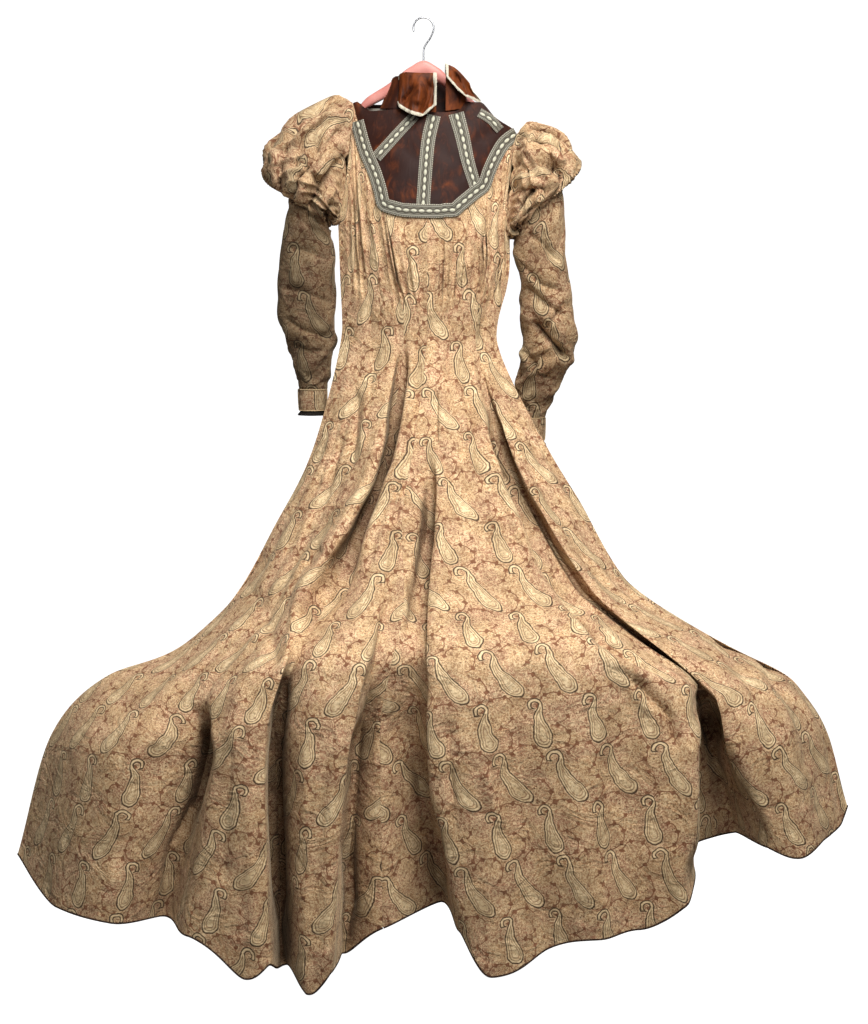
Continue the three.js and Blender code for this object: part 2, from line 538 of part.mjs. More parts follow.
// One collar half: rows run from the foot up the stand, over the turn and down to the ruffle.
const COLLAR_PROFILE = [
  { out: 0, up: 0, down: 0 },
  { out: 1, up: 0.5, down: 0 },
  { out: 3, up: 0.93, down: 0 },
  { out: 6.5, up: 1, down: 0 },
  { out: 10, up: 0.97, down: 0.04 },
  { out: 14, up: 1, down: 0.45 },
  { out: 19, up: 1, down: 0.75 },
  { out: 23, up: 1, down: 1 },
];
function collar(name, size) {
  const last = size.plan.length - 1;
  const side = name === 'collar_left' ? 1 : -1;
  const planAt = (place) => (
    new THREE.Vector2(column(size.plan, 'x', place), column(size.plan, 'forward', place)));
  const rows = COLLAR_PROFILE.map(({ out, up, down }) => spread(0, last, 22).map((place) => {
    const ahead = planAt(place + 0.05).sub(planAt(place - 0.05)).normalize();
    const wave = RUFFLE * down * Math.cos((2 * Math.PI * size.waves * place) / last);
    const reach = side * (out + wave);
    const foot = size.base - (size.drop * place) / last;
    const z = foot + smooth(size.rise, place) * up - smooth(size.fall, place) * down;
    const spot = planAt(place);
    return new THREE.Vector3(spot.x - ahead.y * reach, -(spot.y + ahead.x * reach), z);
  }));
  if (side < 0) rows.forEach((row) => row.reverse());
  return clothWall(name, COLOURS.velvet, rows, gridOutward(rows), VELVET);
}

// A solid swept through closed rings of points, with a flat cap at both ends.
function sweptSolid(name, material, rings) {
  const count = rings[0].length;
  const vertices = rings.flat();
  const faces = [];
  for (let j = 0; j < rings.length - 1; j += 1) {
    for (let i = 0; i < count; i += 1) {
      const [a, b] = [j * count + i, j * count + ((i + 1) % count)];
      faces.push([a, a + count, b + count], [a, b + count, b]);
    }
  }
  const end = (rings.length - 1) * count;
  for (let i = 1; i < count - 1; i += 1) {
    faces.push([0, i, i + 1], [end, end + i + 1, end + i]);
  }
  return solidMesh(name, material, vertices, faces);
}

// A round cord along a path; `reference` is a direction the path never runs along.
function cord(name, material, path, radius, sides, reference) {
  const rings = path.map((point, j) => {
    const next = path[Math.min(path.length - 1, j + 1)];
    const ahead = next.clone().sub(path[Math.max(0, j - 1)]).normalize();
    const across = new THREE.Vector3().crossVectors(reference, ahead).normalize();
    const upward = new THREE.Vector3().crossVectors(ahead, across);
    return spread(0, 2 * Math.PI, sides).slice(0, -1).map((turn) => point.clone()
      .addScaledVector(across, radius * Math.cos(turn))
      .addScaledVector(upward, radius * Math.sin(turn)));
  });
  return sweptSolid(name, material, rings);
}

// The hem binding follows the cut edge of the front, just below it, mitred where the edge turns.
function hemBinding(name, from, to) {
  const places = spread(from, to, Math.round((to - from) * 2));
  const outward = (fold) => {
    const inside = Math.min(Math.max(fold, 0.03), LAST_FOLD - 0.03);
    return surfaceOutward(frontPoint, inside, LAST_STATION, LAST_STATION);
  };
  const edge = places.map((fold) => (
    frontPoint(fold, LAST_STATION).addScaledVector(outward(fold), -CLOTH / 2)));
  const path = edge.map((point, i) => {
    const ahead = edge[Math.min(edge.length - 1, i + 1)].clone().sub(point).normalize();
    const behind = point.clone().sub(edge[Math.max(0, i - 1)]).normalize();
    const along = ahead.clone().add(behind).normalize();
    const mitre = 1 / Math.max(0.6, along.dot(i > 0 ? behind : ahead));
    const below = along.cross(outward(places[i])).normalize();
    if (below.z > 0) below.negate();
    return point.clone().addScaledVector(below, (BINDING_RADIUS + CORD_GAP) * mitre);
  });
  return cord(name, COLOURS.binding, path, BINDING_RADIUS, 6, new THREE.Vector3(0, 0, 1));
}

function hanger() {
  const turns = spread(0, 2 * Math.PI, 10).slice(0, -1);
  const rings = spread(0, HANGER_ARMS.length - 1, 24).map((place) => turns
    .map((turn) => new THREE.Vector3(
      column(HANGER_ARMS, 'x', place),
      -HANGER_FORWARD - column(HANGER_ARMS, 'deep', place) * Math.cos(turn),
      column(HANGER_ARMS, 'z', place) + column(HANGER_ARMS, 'high', place) * Math.sin(turn),
    )));
  rings.reverse();
  const arc = spread(200, -25, 18).map((angle) => {
    const turn = THREE.MathUtils.degToRad(angle);
    return new THREE.Vector3(HOOK_RADIUS * Math.cos(turn), 0,
      WIRE_RADIUS - HOOK_RADIUS + HOOK_RADIUS * Math.sin(turn));
  });
  const shank = [[12.5, -37], [6, -46], [1.5, -54], [0, -62], [0, -70], [0, -79.4]]
    .map(([x, z]) => new THREE.Vector3(x, 0, z));
  return [
    sweptSolid('hanger_body', COLOURS.hanger, rings),
    cord('hanger_hook', COLOURS.wire, [...arc, ...shank], WIRE_RADIUS, 8, new THREE.Vector3(0, 1, 0)),
  ];
}

// The plain tape inside the back of the neck.
function neckTape() {
  const rows = [-173.5, -165.5].map((z) => (
    spread(-110, -74, 6).map((x) => onTorso(x, z, -VELVET - 1.6, 'back'))));
  return clothWall('neck_tape', COLOURS.tape, rows, gridOutward(rows), 1.0);
}

// The rounded tab on the right forearm.
function sleeveTab() {
  const rows = spread(0, 1, 5).map((down) => spread(1, -1, 4).map((across) => {
    const width = 0.3 * Math.sqrt(1 - Math.max(0, 0.92 * (2 * down - 1)) ** 2);
    const place = 11.75 + 0.8 * down;
    const point = sleevePoint(RIGHT_SLEEVE, 1, place, Math.PI / 2 + width * across);
    const middle = new THREE.Vector3(
      column(RIGHT_SLEEVE, 'x', place), -column(RIGHT_SLEEVE, 'forward', place), point.z);
    return point.addScaledVector(point.clone().sub(middle).normalize(), TAB_LIFT);
  }));
  return clothWall('sleeve_tab_right', COLOURS.cloth, rows, gridOutward(rows), BRAID);
}

// The plain stand behind the neck, between the two collar halves.
function collarBack() {
  const rows = spread(0, 1, 3).map((up) => spread(78, -50, 8).map((x) => {
    const point = onTorso(x, -154.4, 0, 'back');
    return point.add(new THREE.Vector3(0, 6 * up, 44 * up));
  }));
  return clothWall('collar_back', COLOURS.velvet, rows.reverse(), gridOutward(rows), VELVET);
}

const gown = new THREE.Group();
gown.name = 'tea_gown';
gown.add(
  ...hanger(),
  frontPanel('gown_front_left', 0, CENTRE_SEAM),
  frontPanel('gown_front_right', CENTRE_SEAM, LAST_FOLD),
  backPanel(),
  sleeve('sleeve_left', LEFT_SLEEVE, -1),
  sleeve('sleeve_right', RIGHT_SLEEVE, 1),
  ...cuffPieces('left', CUFFS.left),
  ...cuffPieces('right', CUFFS.right),
  yoke('yoke_front', frontSeamLine, FRONT_NECK, 'front'),
  yoke('yoke_back', backSeamLine, BACK_NECK, 'back'),
  torsoBraid('neckline_braid_front', frontSeamLine.slice(1, -2), () => NECKLINE_BRAID, NECKLINE_LIFT),
  torsoBraid('neckline_braid_back', backSeamLine.slice(2, -2), () => NECKLINE_BRAID,
    2 * BRAID - 0.2, 'back'),
  ...yokeBraids(),
  ...Object.entries(COLLARS).map(([name, size]) => collar(name, size)),
  collarBack(),
  hemBinding('hem_binding_left', 0, CENTRE_SEAM - 0.04),
  hemBinding('hem_binding_right', CENTRE_SEAM + 0.04, LAST_FOLD),
  neckTape(),
  sleeveTab(),
);

export default gown;
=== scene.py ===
"""A patterned velveteen tea gown with a velvet yoke, hung on a pink moulded hanger."""

import logging
import math
from dataclasses import dataclass, field
from enum import Enum
from functools import partial, reduce
from typing import Optional, Sequence, Tuple, Union

import bpy
import numpy as np
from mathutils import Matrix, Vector


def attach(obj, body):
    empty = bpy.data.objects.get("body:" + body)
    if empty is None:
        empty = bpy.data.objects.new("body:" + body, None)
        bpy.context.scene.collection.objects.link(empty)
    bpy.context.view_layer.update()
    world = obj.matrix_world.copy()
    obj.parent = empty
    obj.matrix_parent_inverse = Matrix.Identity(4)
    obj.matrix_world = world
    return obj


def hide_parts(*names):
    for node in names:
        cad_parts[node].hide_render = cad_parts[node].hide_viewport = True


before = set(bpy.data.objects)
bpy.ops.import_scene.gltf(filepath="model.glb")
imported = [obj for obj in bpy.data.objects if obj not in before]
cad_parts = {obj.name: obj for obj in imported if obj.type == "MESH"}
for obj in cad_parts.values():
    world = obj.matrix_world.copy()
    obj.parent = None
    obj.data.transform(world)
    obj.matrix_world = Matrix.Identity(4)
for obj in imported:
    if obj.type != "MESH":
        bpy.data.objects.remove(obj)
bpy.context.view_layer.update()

LOG = logging.getLogger("tea_gown")
Array = np.ndarray
Socket = bpy.types.NodeSocket
Value = Union[float, Socket]
Colour = Tuple[float, float, float, float]

MM = 0.001
SEAM = 0.3                # clearance between sewn pieces, in millimetres as all sizes below
CLOTH = 1.6               # wall of the velveteen
VELVET = 1.5              # wall of the velvet
BRAID = 1.2               # wall of the braids, the cuffs' halves and the tab
OVAL_PITCH = 14.6         # distance between the raised ovals down the middle of a braid
BODICE_PLEAT = 2.6        # height of the gathers above the waist
NORMAL_STEP = 0.03        # half the span, in fold lines or stations, that an outward direction takes
CENTRE_SEAM = 11          # the fold line that is also the seam down the centre front
LAST_FOLD = 25
WAIST_STATION = 2
LAST_STATION = 8          # the hem
CUT = "cut"               # the meshes' layer of pattern places

# Sections from the waist to the hem: heights at the left side, the middle and the right side,
# how far forward the front stands in the middle and at the sides, corner and back.
SECTIONS = np.array([
    [-584, -590, -600, 75, 25, 2.0, -25],
    [-821, -812, -811, 170, 60, 2.2, -30],
    [-956, -934, -914, 240, 90, 2.5, -36],
    [-1106, -1066, -1060, 330, 130, 3.0, -45],
    [-1248, -1172, -1270, 435, 180, 4.0, -56],
    [-1350, -1307, -1347, 452, 215, 4.0, -66],
    [-1573, -1700, -1481, 465, 245, 4.0, -80],
])

# Fold lines of the front from side to side: top x and z, x at the seven sections, height at
# ledge and hem, and relief (crest +, valley -) at thigh, knee, shin, ledge, drop and hem.
FOLDS = np.array([
    [-165, -388, -159, -216, -279, -370, -600, -704, -769, -1250, -1573, 0, 0, 0, 0, 0, 0],
    [-152, -325, -145, -197, -253, -335, -533, -600, -668, -1248, -1639, 2, 4, 6, 10, 25, 30],
    [-144, -269, -131, -180, -230, -303, -468, -505, -556, -1246, -1643, 2, 4, 4, 6, 18, 15],
    [-138, -205, -119, -164, -209, -278, -410, -385, -480, -1246, -1659, -3, -5, -8, -14, -75, -95],
    [-136, -160, -107, -148, -189, -259, -372, -362, -415, -1240, -1646, 0, 0, 0, 6, 8, 10],
    [-113, -245, -80, -117, -167, -243, -316, -320, -311, -1212, -1709, 4, 6, 8, 16, 25, 30],
    [-92, -295, -53, -86, -144, -229, -247, -274, -268, -1183, -1685, 10, 24, 32, 18, 12, 18],
    [-82, -327, -38, -70, -116, -172, -228, -266, -254, -1174, -1742, -38, -46, -38, -22, -70, -70],
    [-75, -353, -26, -51, -83, -122, -169, -195, -204, -1173, -1742, -4, -4, 12, 14, 18, 25],
    [-54, -361, -16, -38, -62, -86, -100, -126, -160, -1172, -1698, 4, 6, 12, 8, 12, 15],
    [-37, -365, -7, -30, -52, -66, -86, -112, -146, -1172, -1716, 3, 2, 0, -30, -85, -100],
    [7, -367, 7, -19, -39, -34, -56, -76, -72, -1172, -1649, 0, -2, -2, -30, -62, -60],
    [31, -367, 24, 11, 7, -11, -16, -19, 33, -1172, -1628, -6, -20, -26, -42, -95, -130],
    [43, -365, 33, 27, 24, 9, 6, 2, 66, -1172, -1631, 6, 12, 18, 10, -4, -6],
    [56, -365, 43, 54, 72, 85, 100, 100, 119, -1167, -1710, 4, 8, 10, 16, 22, 25],
    [69, -355, 55, 75, 105, 130, 169, 161, 222, -1162, -1663, -5, -5, 0, 4, 0, -6],
    [82, -344, 66, 93, 133, 175, 256, 256, 310, -1158, -1637, 2, 4, 6, 14, 18, 20],
    [100, -329, 78, 111, 154, 219, 362, 365, 384, -1170, -1635, 3, 6, 6, 4, -10, -10],
    [115, -317, 90, 130, 177, 251, 468, 463, 468, -1212, -1583, 8, 14, 14, 14, 28, 24],
    [124, -293, 97, 147, 197, 274, 490, 503, 520, -1222, -1542, -24, -34, -32, -26, -130, -165],
    [132, -274, 103, 156, 206, 288, 503, 530, 592, -1228, -1536, -26, -34, -30, -38, -150, -175],
    [155, -235, 112, 166, 217, 307, 522, 542, 624, -1234, -1514, 6, 14, 18, 10, -4, -10],
    [179, -217, 121, 185, 238, 333, 587, 641, 684, -1236, -1539, 4, 6, 8, 14, 28, 32],
    [165, -259, 129, 201, 257, 350, 640, 704, 737, -1242, -1538, 2, 2, 4, 8, 16, 16],
    [160, -326, 136, 219, 276, 368, 676, 744, 779, -1252, -1519, 0, 0, 0, 2, 4, 4],
    [162, -410, 141, 236, 293, 382, 706, 764, 799, -1268, -1481, 0, 0, 0, 0, 0, 0],
], dtype=float)
SHOULDER_FOLDS = (4, 22)  # fold lines that start at the shoulder points

# The torso above the waist: height, how far forward front, sides and back stand, and the
# middle and half of its width.
TORSO = np.array([
    [-600, 75, 25, -25, -9, 152],
    [-500, 86, 25, -28, -3.5, 160.5],
    [-420, 92, 25, -30, -0.5, 165.5],
    [-367, 88, 24, -30, 1, 169],
    [-320, 80, 22, -30, 0, 172],
    [-270, 69, 20, -29, 8, 173],
    [-220, 56, 18, -27, 13, 166],
    [-180, 43, 18, -24, 20, 165],
    [-140, 32, 18, -20, 27, 150],
], dtype=float)

# Top edge of the back from the left armpit over both shoulder points: share across, x and z.
BACK_TOP = np.array([
    [0.00, -165, -388], [0.08, -150, -300], [0.16, -138, -205], [0.20, -136, -162],
    [0.32, -92, -240], [0.50, 22, -285], [0.68, 136, -258], [0.80, 177, -217],
    [0.84, 173, -245], [0.92, 164, -330], [1.00, 162, -410],
])
BACK_SHOULDERS = (0.20, 0.80)

# Rings of each sleeve from armhole to wrist: x, z, tilt of the long axis above level in
# degrees, half length of that axis, half depth, how far forward, and how deep its pleats are.
LEFT_SLEEVE = np.array([
    [-151, -274, 97.4, 116, 23, 19, 0],
    [-169, -269, 91, 116, 52, 24, 4],
    [-193, -278, 79, 108, 70, 27, 6],
    [-221, -294, 62, 99, 76, 26, 6],
    [-240, -319, 45, 87, 73, 24, 5],
    [-240, -345, 33, 73, 62, 22, 4],
    [-228, -357, 33, 56, 48, 20, 2],
    [-220, -362, 38, 49, 41, 18, 1],
    [-222, -376, 32, 47, 41, 17, 0],
    [-224, -418, 8, 49, 40, 12, 0],
    [-231, -505, 0, 58, 40, 4, 0],
    [-227, -585, 0, 54, 38, -4, 0],
    [-221, -630, 0, 45, 35, -9, 0],
    [-220, -680, 0, 33, 29, -15, 0],
    [-220, -708, 0, 28, 26, -18, 0],
])
RIGHT_SLEEVE = np.array([
    [171.1, -314, 84.7, 98, 23, 19, 0],
    [186, -306, 81, 105, 50, 28, 3],
    [208, -310, 69, 106, 64, 27, 5],
    [228, -325, 55, 99, 68, 25, 5],
    [234, -340, 45, 87, 64, 22, 4],
    [226, -354, 42, 72, 54, 19, 2],
    [221, -364, 42, 62, 46, 17, 1],
    [223, -380, 34, 58, 44, 15, 0],
    [225, -434, 8, 50, 42, 12, 0],
    [238, -510, 0, 49, 40, 5, 0],
    [243, -560, 0, 54, 40, 0, 0],
    [247, -618, 0, 54, 38, -8, 0],
    [242, -652, 0, 53, 36, -18, 0],
    [229, -696, 0, 45, 30, -38, 0],
    [221, -736, 0, 36, 28, -55, 0],
    [217, -768, 0, 28, 26, -66, 0],
])
SLEEVE_PLEATS = 8

# Neck opening of the yoke, front then back, from the left shoulder to the right one.
FRONT_NECK = np.array([
    [-127, -157], [-98, -176], [-57, -174], [-30, -177], [0, -180], [34, -180], [62, -177],
    [84, -160], [108, -160], [138, -189], [171, -208],
], dtype=float)
BACK_NECK = np.array([
    [-127, -158], [-80, -158], [-30, -156], [22, -155], [74, -158], [124, -172], [166, -205],
], dtype=float)


class Side(Enum):
    """Which side of the gown a piece belongs to, with the sign of its x."""

    LEFT = -1
    RIGHT = 1

    @property
    def word(self) -> str:
        """Name of the side as node names spell it."""
        return self.name.lower()


class Face(Enum):
    """Front or back of the torso, with the sign of y away from the body."""

    FRONT = -1
    BACK = 1


def smooth(values: Array, place: Array) -> Array:
    """Monotone cubic through evenly numbered values, so crests and valleys never overshoot.

    Args:
        values: Values along the first axis; further axes are carried along.
        place: Places between the numbers, of any shape.

    Returns:
        Values at the places, shaped as place and then as the further axes.
    """
    values = np.asarray(values, dtype=float)
    last = len(values) - 1
    spot = np.clip(np.asarray(place, dtype=float), 0, last)
    i = np.minimum(np.floor(spot).astype(int), last - 1)
    step = np.diff(values, axis=0)
    slope = np.empty_like(values)
    slope[0], slope[-1] = step[0], step[-1]
    product = step[:-1] * step[1:]
    total = np.where(product > 0, step[:-1] + step[1:], 1)
    slope[1:-1] = np.where(product > 0, 2 * product / total, 0)
    t = (spot - i).reshape(spot.shape + (1,) * (values.ndim - 1))
    ease = t * t * (3 - 2 * t)
    return values[i] + step[i] * ease + slope[i] * t * (1 - t) ** 2 - slope[i + 1] * t * t * (1 - t)


def finer(grid: Array, down: Array, across: Array) -> Array:
    """A grid read smoothly at places between its rows and between its columns."""
    rows = smooth(grid, down)
    return np.swapaxes(smooth(np.swapaxes(rows, 0, 1), across), 0, 1)


def smoothstep(value: Array, low: float, high: float) -> Array:
    """Eased share from 0 below low to 1 above high."""
    t = np.clip((value - low) / (high - low), 0, 1)
    return t * t * (3 - 2 * t)


def unit(vectors: Array) -> Array:
    """Vectors along the last axis, scaled to length one."""
    return vectors / np.maximum(np.linalg.norm(vectors, axis=-1, keepdims=True), 1e-12)


def round_turns(count: int) -> Array:
    """Evenly spaced angles once round."""
    return np.linspace(0, 2 * math.pi, count, endpoint=False)


def torso_forward(x: Array, z: Array, face: Face = Face.FRONT) -> Array:
    """How far forward the torso stands: its middle depth falls to its side depth with a power of
    the share of the half width."""
    place = np.interp(z, TORSO[:, 0], np.arange(len(TORSO)))
    half = smooth(TORSO[:, 5], place)
    t = np.minimum(1, np.abs(x - smooth(TORSO[:, 4], place)) / half)
    depth = smooth(TORSO[:, 1 if face is Face.FRONT else 3], place)
    corner = 2.4 if face is Face.FRONT else 10
    return depth + (smooth(TORSO[:, 2], place) - depth) * t ** corner


def on_torso(x: Array, z: Array, lift: Array = 0.0, face: Face = Face.FRONT) -> Array:
    """Points of the torso at x and z, moved out by lift."""
    x, z = np.broadcast_arrays(np.asarray(x, dtype=float), z)
    return np.stack([x, -torso_forward(x, z, face) + face.value * lift, z], axis=-1)


def fold_stations() -> Array:
    """Points of every fold line at the cut edge, the bust and every section.

    Returns:
        Array of fold lines by stations by x, y and z in millimetres.
    """
    waist = FOLDS[:, 2]
    bust_x = 0.45 * FOLDS[:, 0] + 0.55 * waist
    bust_z = 0.45 * FOLDS[:, 1] + 0.55 * SECTIONS[0, 1]
    points = [on_torso(FOLDS[:, 0], FOLDS[:, 1]), on_torso(bust_x, bust_z)]
    own_height = {4: FOLDS[:, 9], 6: FOLDS[:, 10]}
    for k, (left_z, mid_z, right_z, front, side, corner, _) in enumerate(SECTIONS):
        x = FOLDS[:, 2 + k]
        t = (2 * x - x[0] - x[-1]) / (x[-1] - x[0])
        z = own_height.get(k, mid_z + (np.where(t < 0, left_z, right_z) - mid_z) * t * t)
        relief = FOLDS[:, 10 + k] if k > 0 else np.zeros_like(x)
        forward = side + (front - side) * (1 - np.abs(t) ** corner)
        points.append(np.stack([x, -forward - relief, z], axis=-1))
    return np.stack(points, axis=1)


STATIONS = fold_stations()


# Where the outline of the skirt is drawn out or in: centre x and z, reach, and shift in x and z.
NUDGES = np.array([
    [-500, -1165, 90, 10, -16], [-640, -1262, 85, -4, 12], [702, -1262, 90, 4, 11],
    [318, -950, 120, 6, 2], [-304, -1000, 120, -5, 0], [-690, -1650, 80, 2, 11],
    [-590, -1668, 90, 0, 9], [-390, -1700, 60, 4, 12], [-236, -1752, 30, 4, 26],
    [735, -1530, 60, 3, 26], [478, -1540, 55, -15, 0], [119, -1712, 40, 0, 8],
    [172, -1690, 50, 0, -6], [154, -485, 75, 12, 0],
], dtype=float)


def nudged(points: Array) -> Array:
    """Points of the skirt, each moved by the shifts near it, which fade as a bell curve."""
    x, z = points[..., 0].copy(), points[..., 2].copy()
    for centre_x, centre_z, reach, shift_x, shift_z in NUDGES:
        near = np.exp(-((x - centre_x) ** 2 + (z - centre_z) ** 2) / reach ** 2)
        points[..., 0] += shift_x * near
        points[..., 2] += shift_z * near
    return points


def front_grid(folds: Array, downs: Array) -> Array:
    """Front of the gown: smooth across the fold lines, then smooth down the stations; above the
    waist it lies on the torso with cosine gathers.

    Args:
        folds: Places between the fold lines.
        downs: Places between the stations.

    Returns:
        Grid of points, rows down and columns across, in millimetres.
    """
    across = np.swapaxes(smooth(STATIONS, folds), 0, 1)
    points = smooth(across, downs)
    x, z = points[..., 0], points[..., 2]
    down = np.asarray(downs, dtype=float)[:, None]
    skirt = smoothstep(down, WAIST_STATION - 0.4, WAIST_STATION + 0.5)
    edge = np.minimum(1, np.minimum(folds, LAST_FOLD - folds) / 3)
    gathered = np.sin(math.pi * np.minimum(down, WAIST_STATION) / WAIST_STATION) ** 2
    lift = BODICE_PLEAT * gathered * edge * np.cos(2 * math.pi * folds)
    torso = on_torso(x, z, lift)
    points[..., 1] = torso[..., 1] + (points[..., 1] - torso[..., 1]) * skirt
    return nudged(points)


def between_sides(across: Array, downs: Array) -> Array:
    """Straight runs from the front's left side seam to its right one."""
    sides = front_grid(np.array([0.0, LAST_FOLD]), downs)
    share = across[None, :, None]
    return sides[:, :1] * (1 - share) + sides[:, 1:] * share


def back_grid(across: Array, downs: Array, fold_height: float, folds: int, dip: float) -> Array:
    """Back of the gown: the same side seams, a flatter middle and cosine folds that deepen to the
    hem; above the waist it runs to the shaped top edge.

    Args:
        across: Shares from the left side seam to the right one.
        downs: Places between the stations.
        fold_height: Height of the folds at the hem.
        folds: Number of folds.
        dip: How much lower the hem is in the middle than between the side seams.

    Returns:
        Grid of points, rows down and columns across, in millimetres.
    """
    side = between_sides(across, downs)
    t = 2 * across - 1
    down = np.asarray(downs, dtype=float)[:, None]
    deep = np.maximum(0, (down - WAIST_STATION) / (LAST_STATION - WAIST_STATION))
    back_forward = smooth(SECTIONS[:, 6], np.maximum(0, down - WAIST_STATION))
    wave = fold_height * deep * (1 - t ** 4) * np.cos(2 * math.pi * folds * across)
    outward = -back_forward + wave
    below = side.copy()
    below[..., 1] = outward + (side[..., 1] - outward) * np.abs(t) ** 4
    below[..., 2] -= dip * deep ** 3 * (1 - t ** 4)
    place = np.interp(across, BACK_TOP[:, 0], np.arange(len(BACK_TOP)))
    top = on_torso(smooth(BACK_TOP[:, 1], place), smooth(BACK_TOP[:, 2], place), 0, Face.BACK)
    waist = between_sides(across, np.array([float(WAIST_STATION)]))
    waist_back = -SECTIONS[0, 6]
    waist[..., 1] = waist_back + (waist[..., 1] - waist_back) * np.abs(t) ** 4
    run = smooth(np.array([0, 0.55, 1]), down[:, 0])[:, None, None]
    upper = top[None] + (waist - top[None]) * run
    back_y = -torso_forward(upper[..., 0], upper[..., 2], Face.BACK)
    upper[..., 1] = back_y + (side[..., 1] - back_y) * np.abs(t) ** 12
    upper[:, [0, -1]] = side[:, [0, -1]]
    return np.where((down >= WAIST_STATION)[..., None], below, upper)


def grid_normals(points: Array, tube: bool = False) -> Array:
    """Outward directions of a grid: the step down crossed with the step across.

    Args:
        points: Grid of points, rows down and columns across.
        tube: Whether the columns close on themselves.

    Returns:
        Unit vectors shaped as the points.
    """
    if tube:
        across = np.roll(points, -1, axis=1) - np.roll(points, 1, axis=1)
    else:
        across = np.gradient(points, axis=1)
    return unit(np.cross(np.gradient(points, axis=0), across))


def arc_lengths(points: Array, axis: int) -> Array:
    """Running length along one axis of a grid of points."""
    steps = np.linalg.norm(np.diff(points, axis=axis), axis=-1)
    start = np.zeros_like(np.take(steps, [0], axis=axis))
    return np.concatenate([start, np.cumsum(steps, axis=axis)], axis=axis)


def even_downs(sample: Array, downs: Array, count: int) -> Array:
    """Stations spaced so the rows of a grid are about evenly far apart along the cloth."""
    run = arc_lengths(sample, 0).mean(axis=1)
    return np.interp(np.linspace(0, run[-1], count), run, downs)


@dataclass(frozen=True)
class Crease:
    """A soft ridge (+) or a sharper trough (-) along a line in the front view, in millimetres."""

    line: Tuple[Tuple[float, float], ...]
    height: float
    width: float
    rises_by: float = 0.15
    falls_from: float = 0.82
    ridge_power: float = 2.0
    trough_power: float = 1.35

    def lift(self, x: Array, z: Array) -> Array:
        """Height over the cloth: a bell curve across the line that fades to its ends.

        Args:
            x: Sideways places.
            z: Heights.

        Returns:
            Lift at each place.
        """
        best = np.full(x.shape, 1e9)
        along = np.zeros(x.shape)
        spots = np.array(self.line)
        runs = np.linalg.norm(np.diff(spots, axis=0), axis=1)
        before = np.concatenate([[0], np.cumsum(runs)])
        for start, stop, run, lead in zip(spots[:-1], spots[1:], runs, before):
            way = (stop - start) / run
            t = np.clip((x - start[0]) * way[0] + (z - start[1]) * way[1], 0, run)
            off = np.hypot(x - start[0] - t * way[0], z - start[1] - t * way[1])
            nearer = off < best
            best = np.where(nearer, off, best)
            along = np.where(nearer, lead + t, along)
        share = along / before[-1]
        fade = smoothstep(share, 0, self.rises_by) * (1 - smoothstep(share, self.falls_from, 1))
        power = self.ridge_power if self.height > 0 else self.trough_power
        return self.height * fade * np.exp(-(best / self.width) ** power)


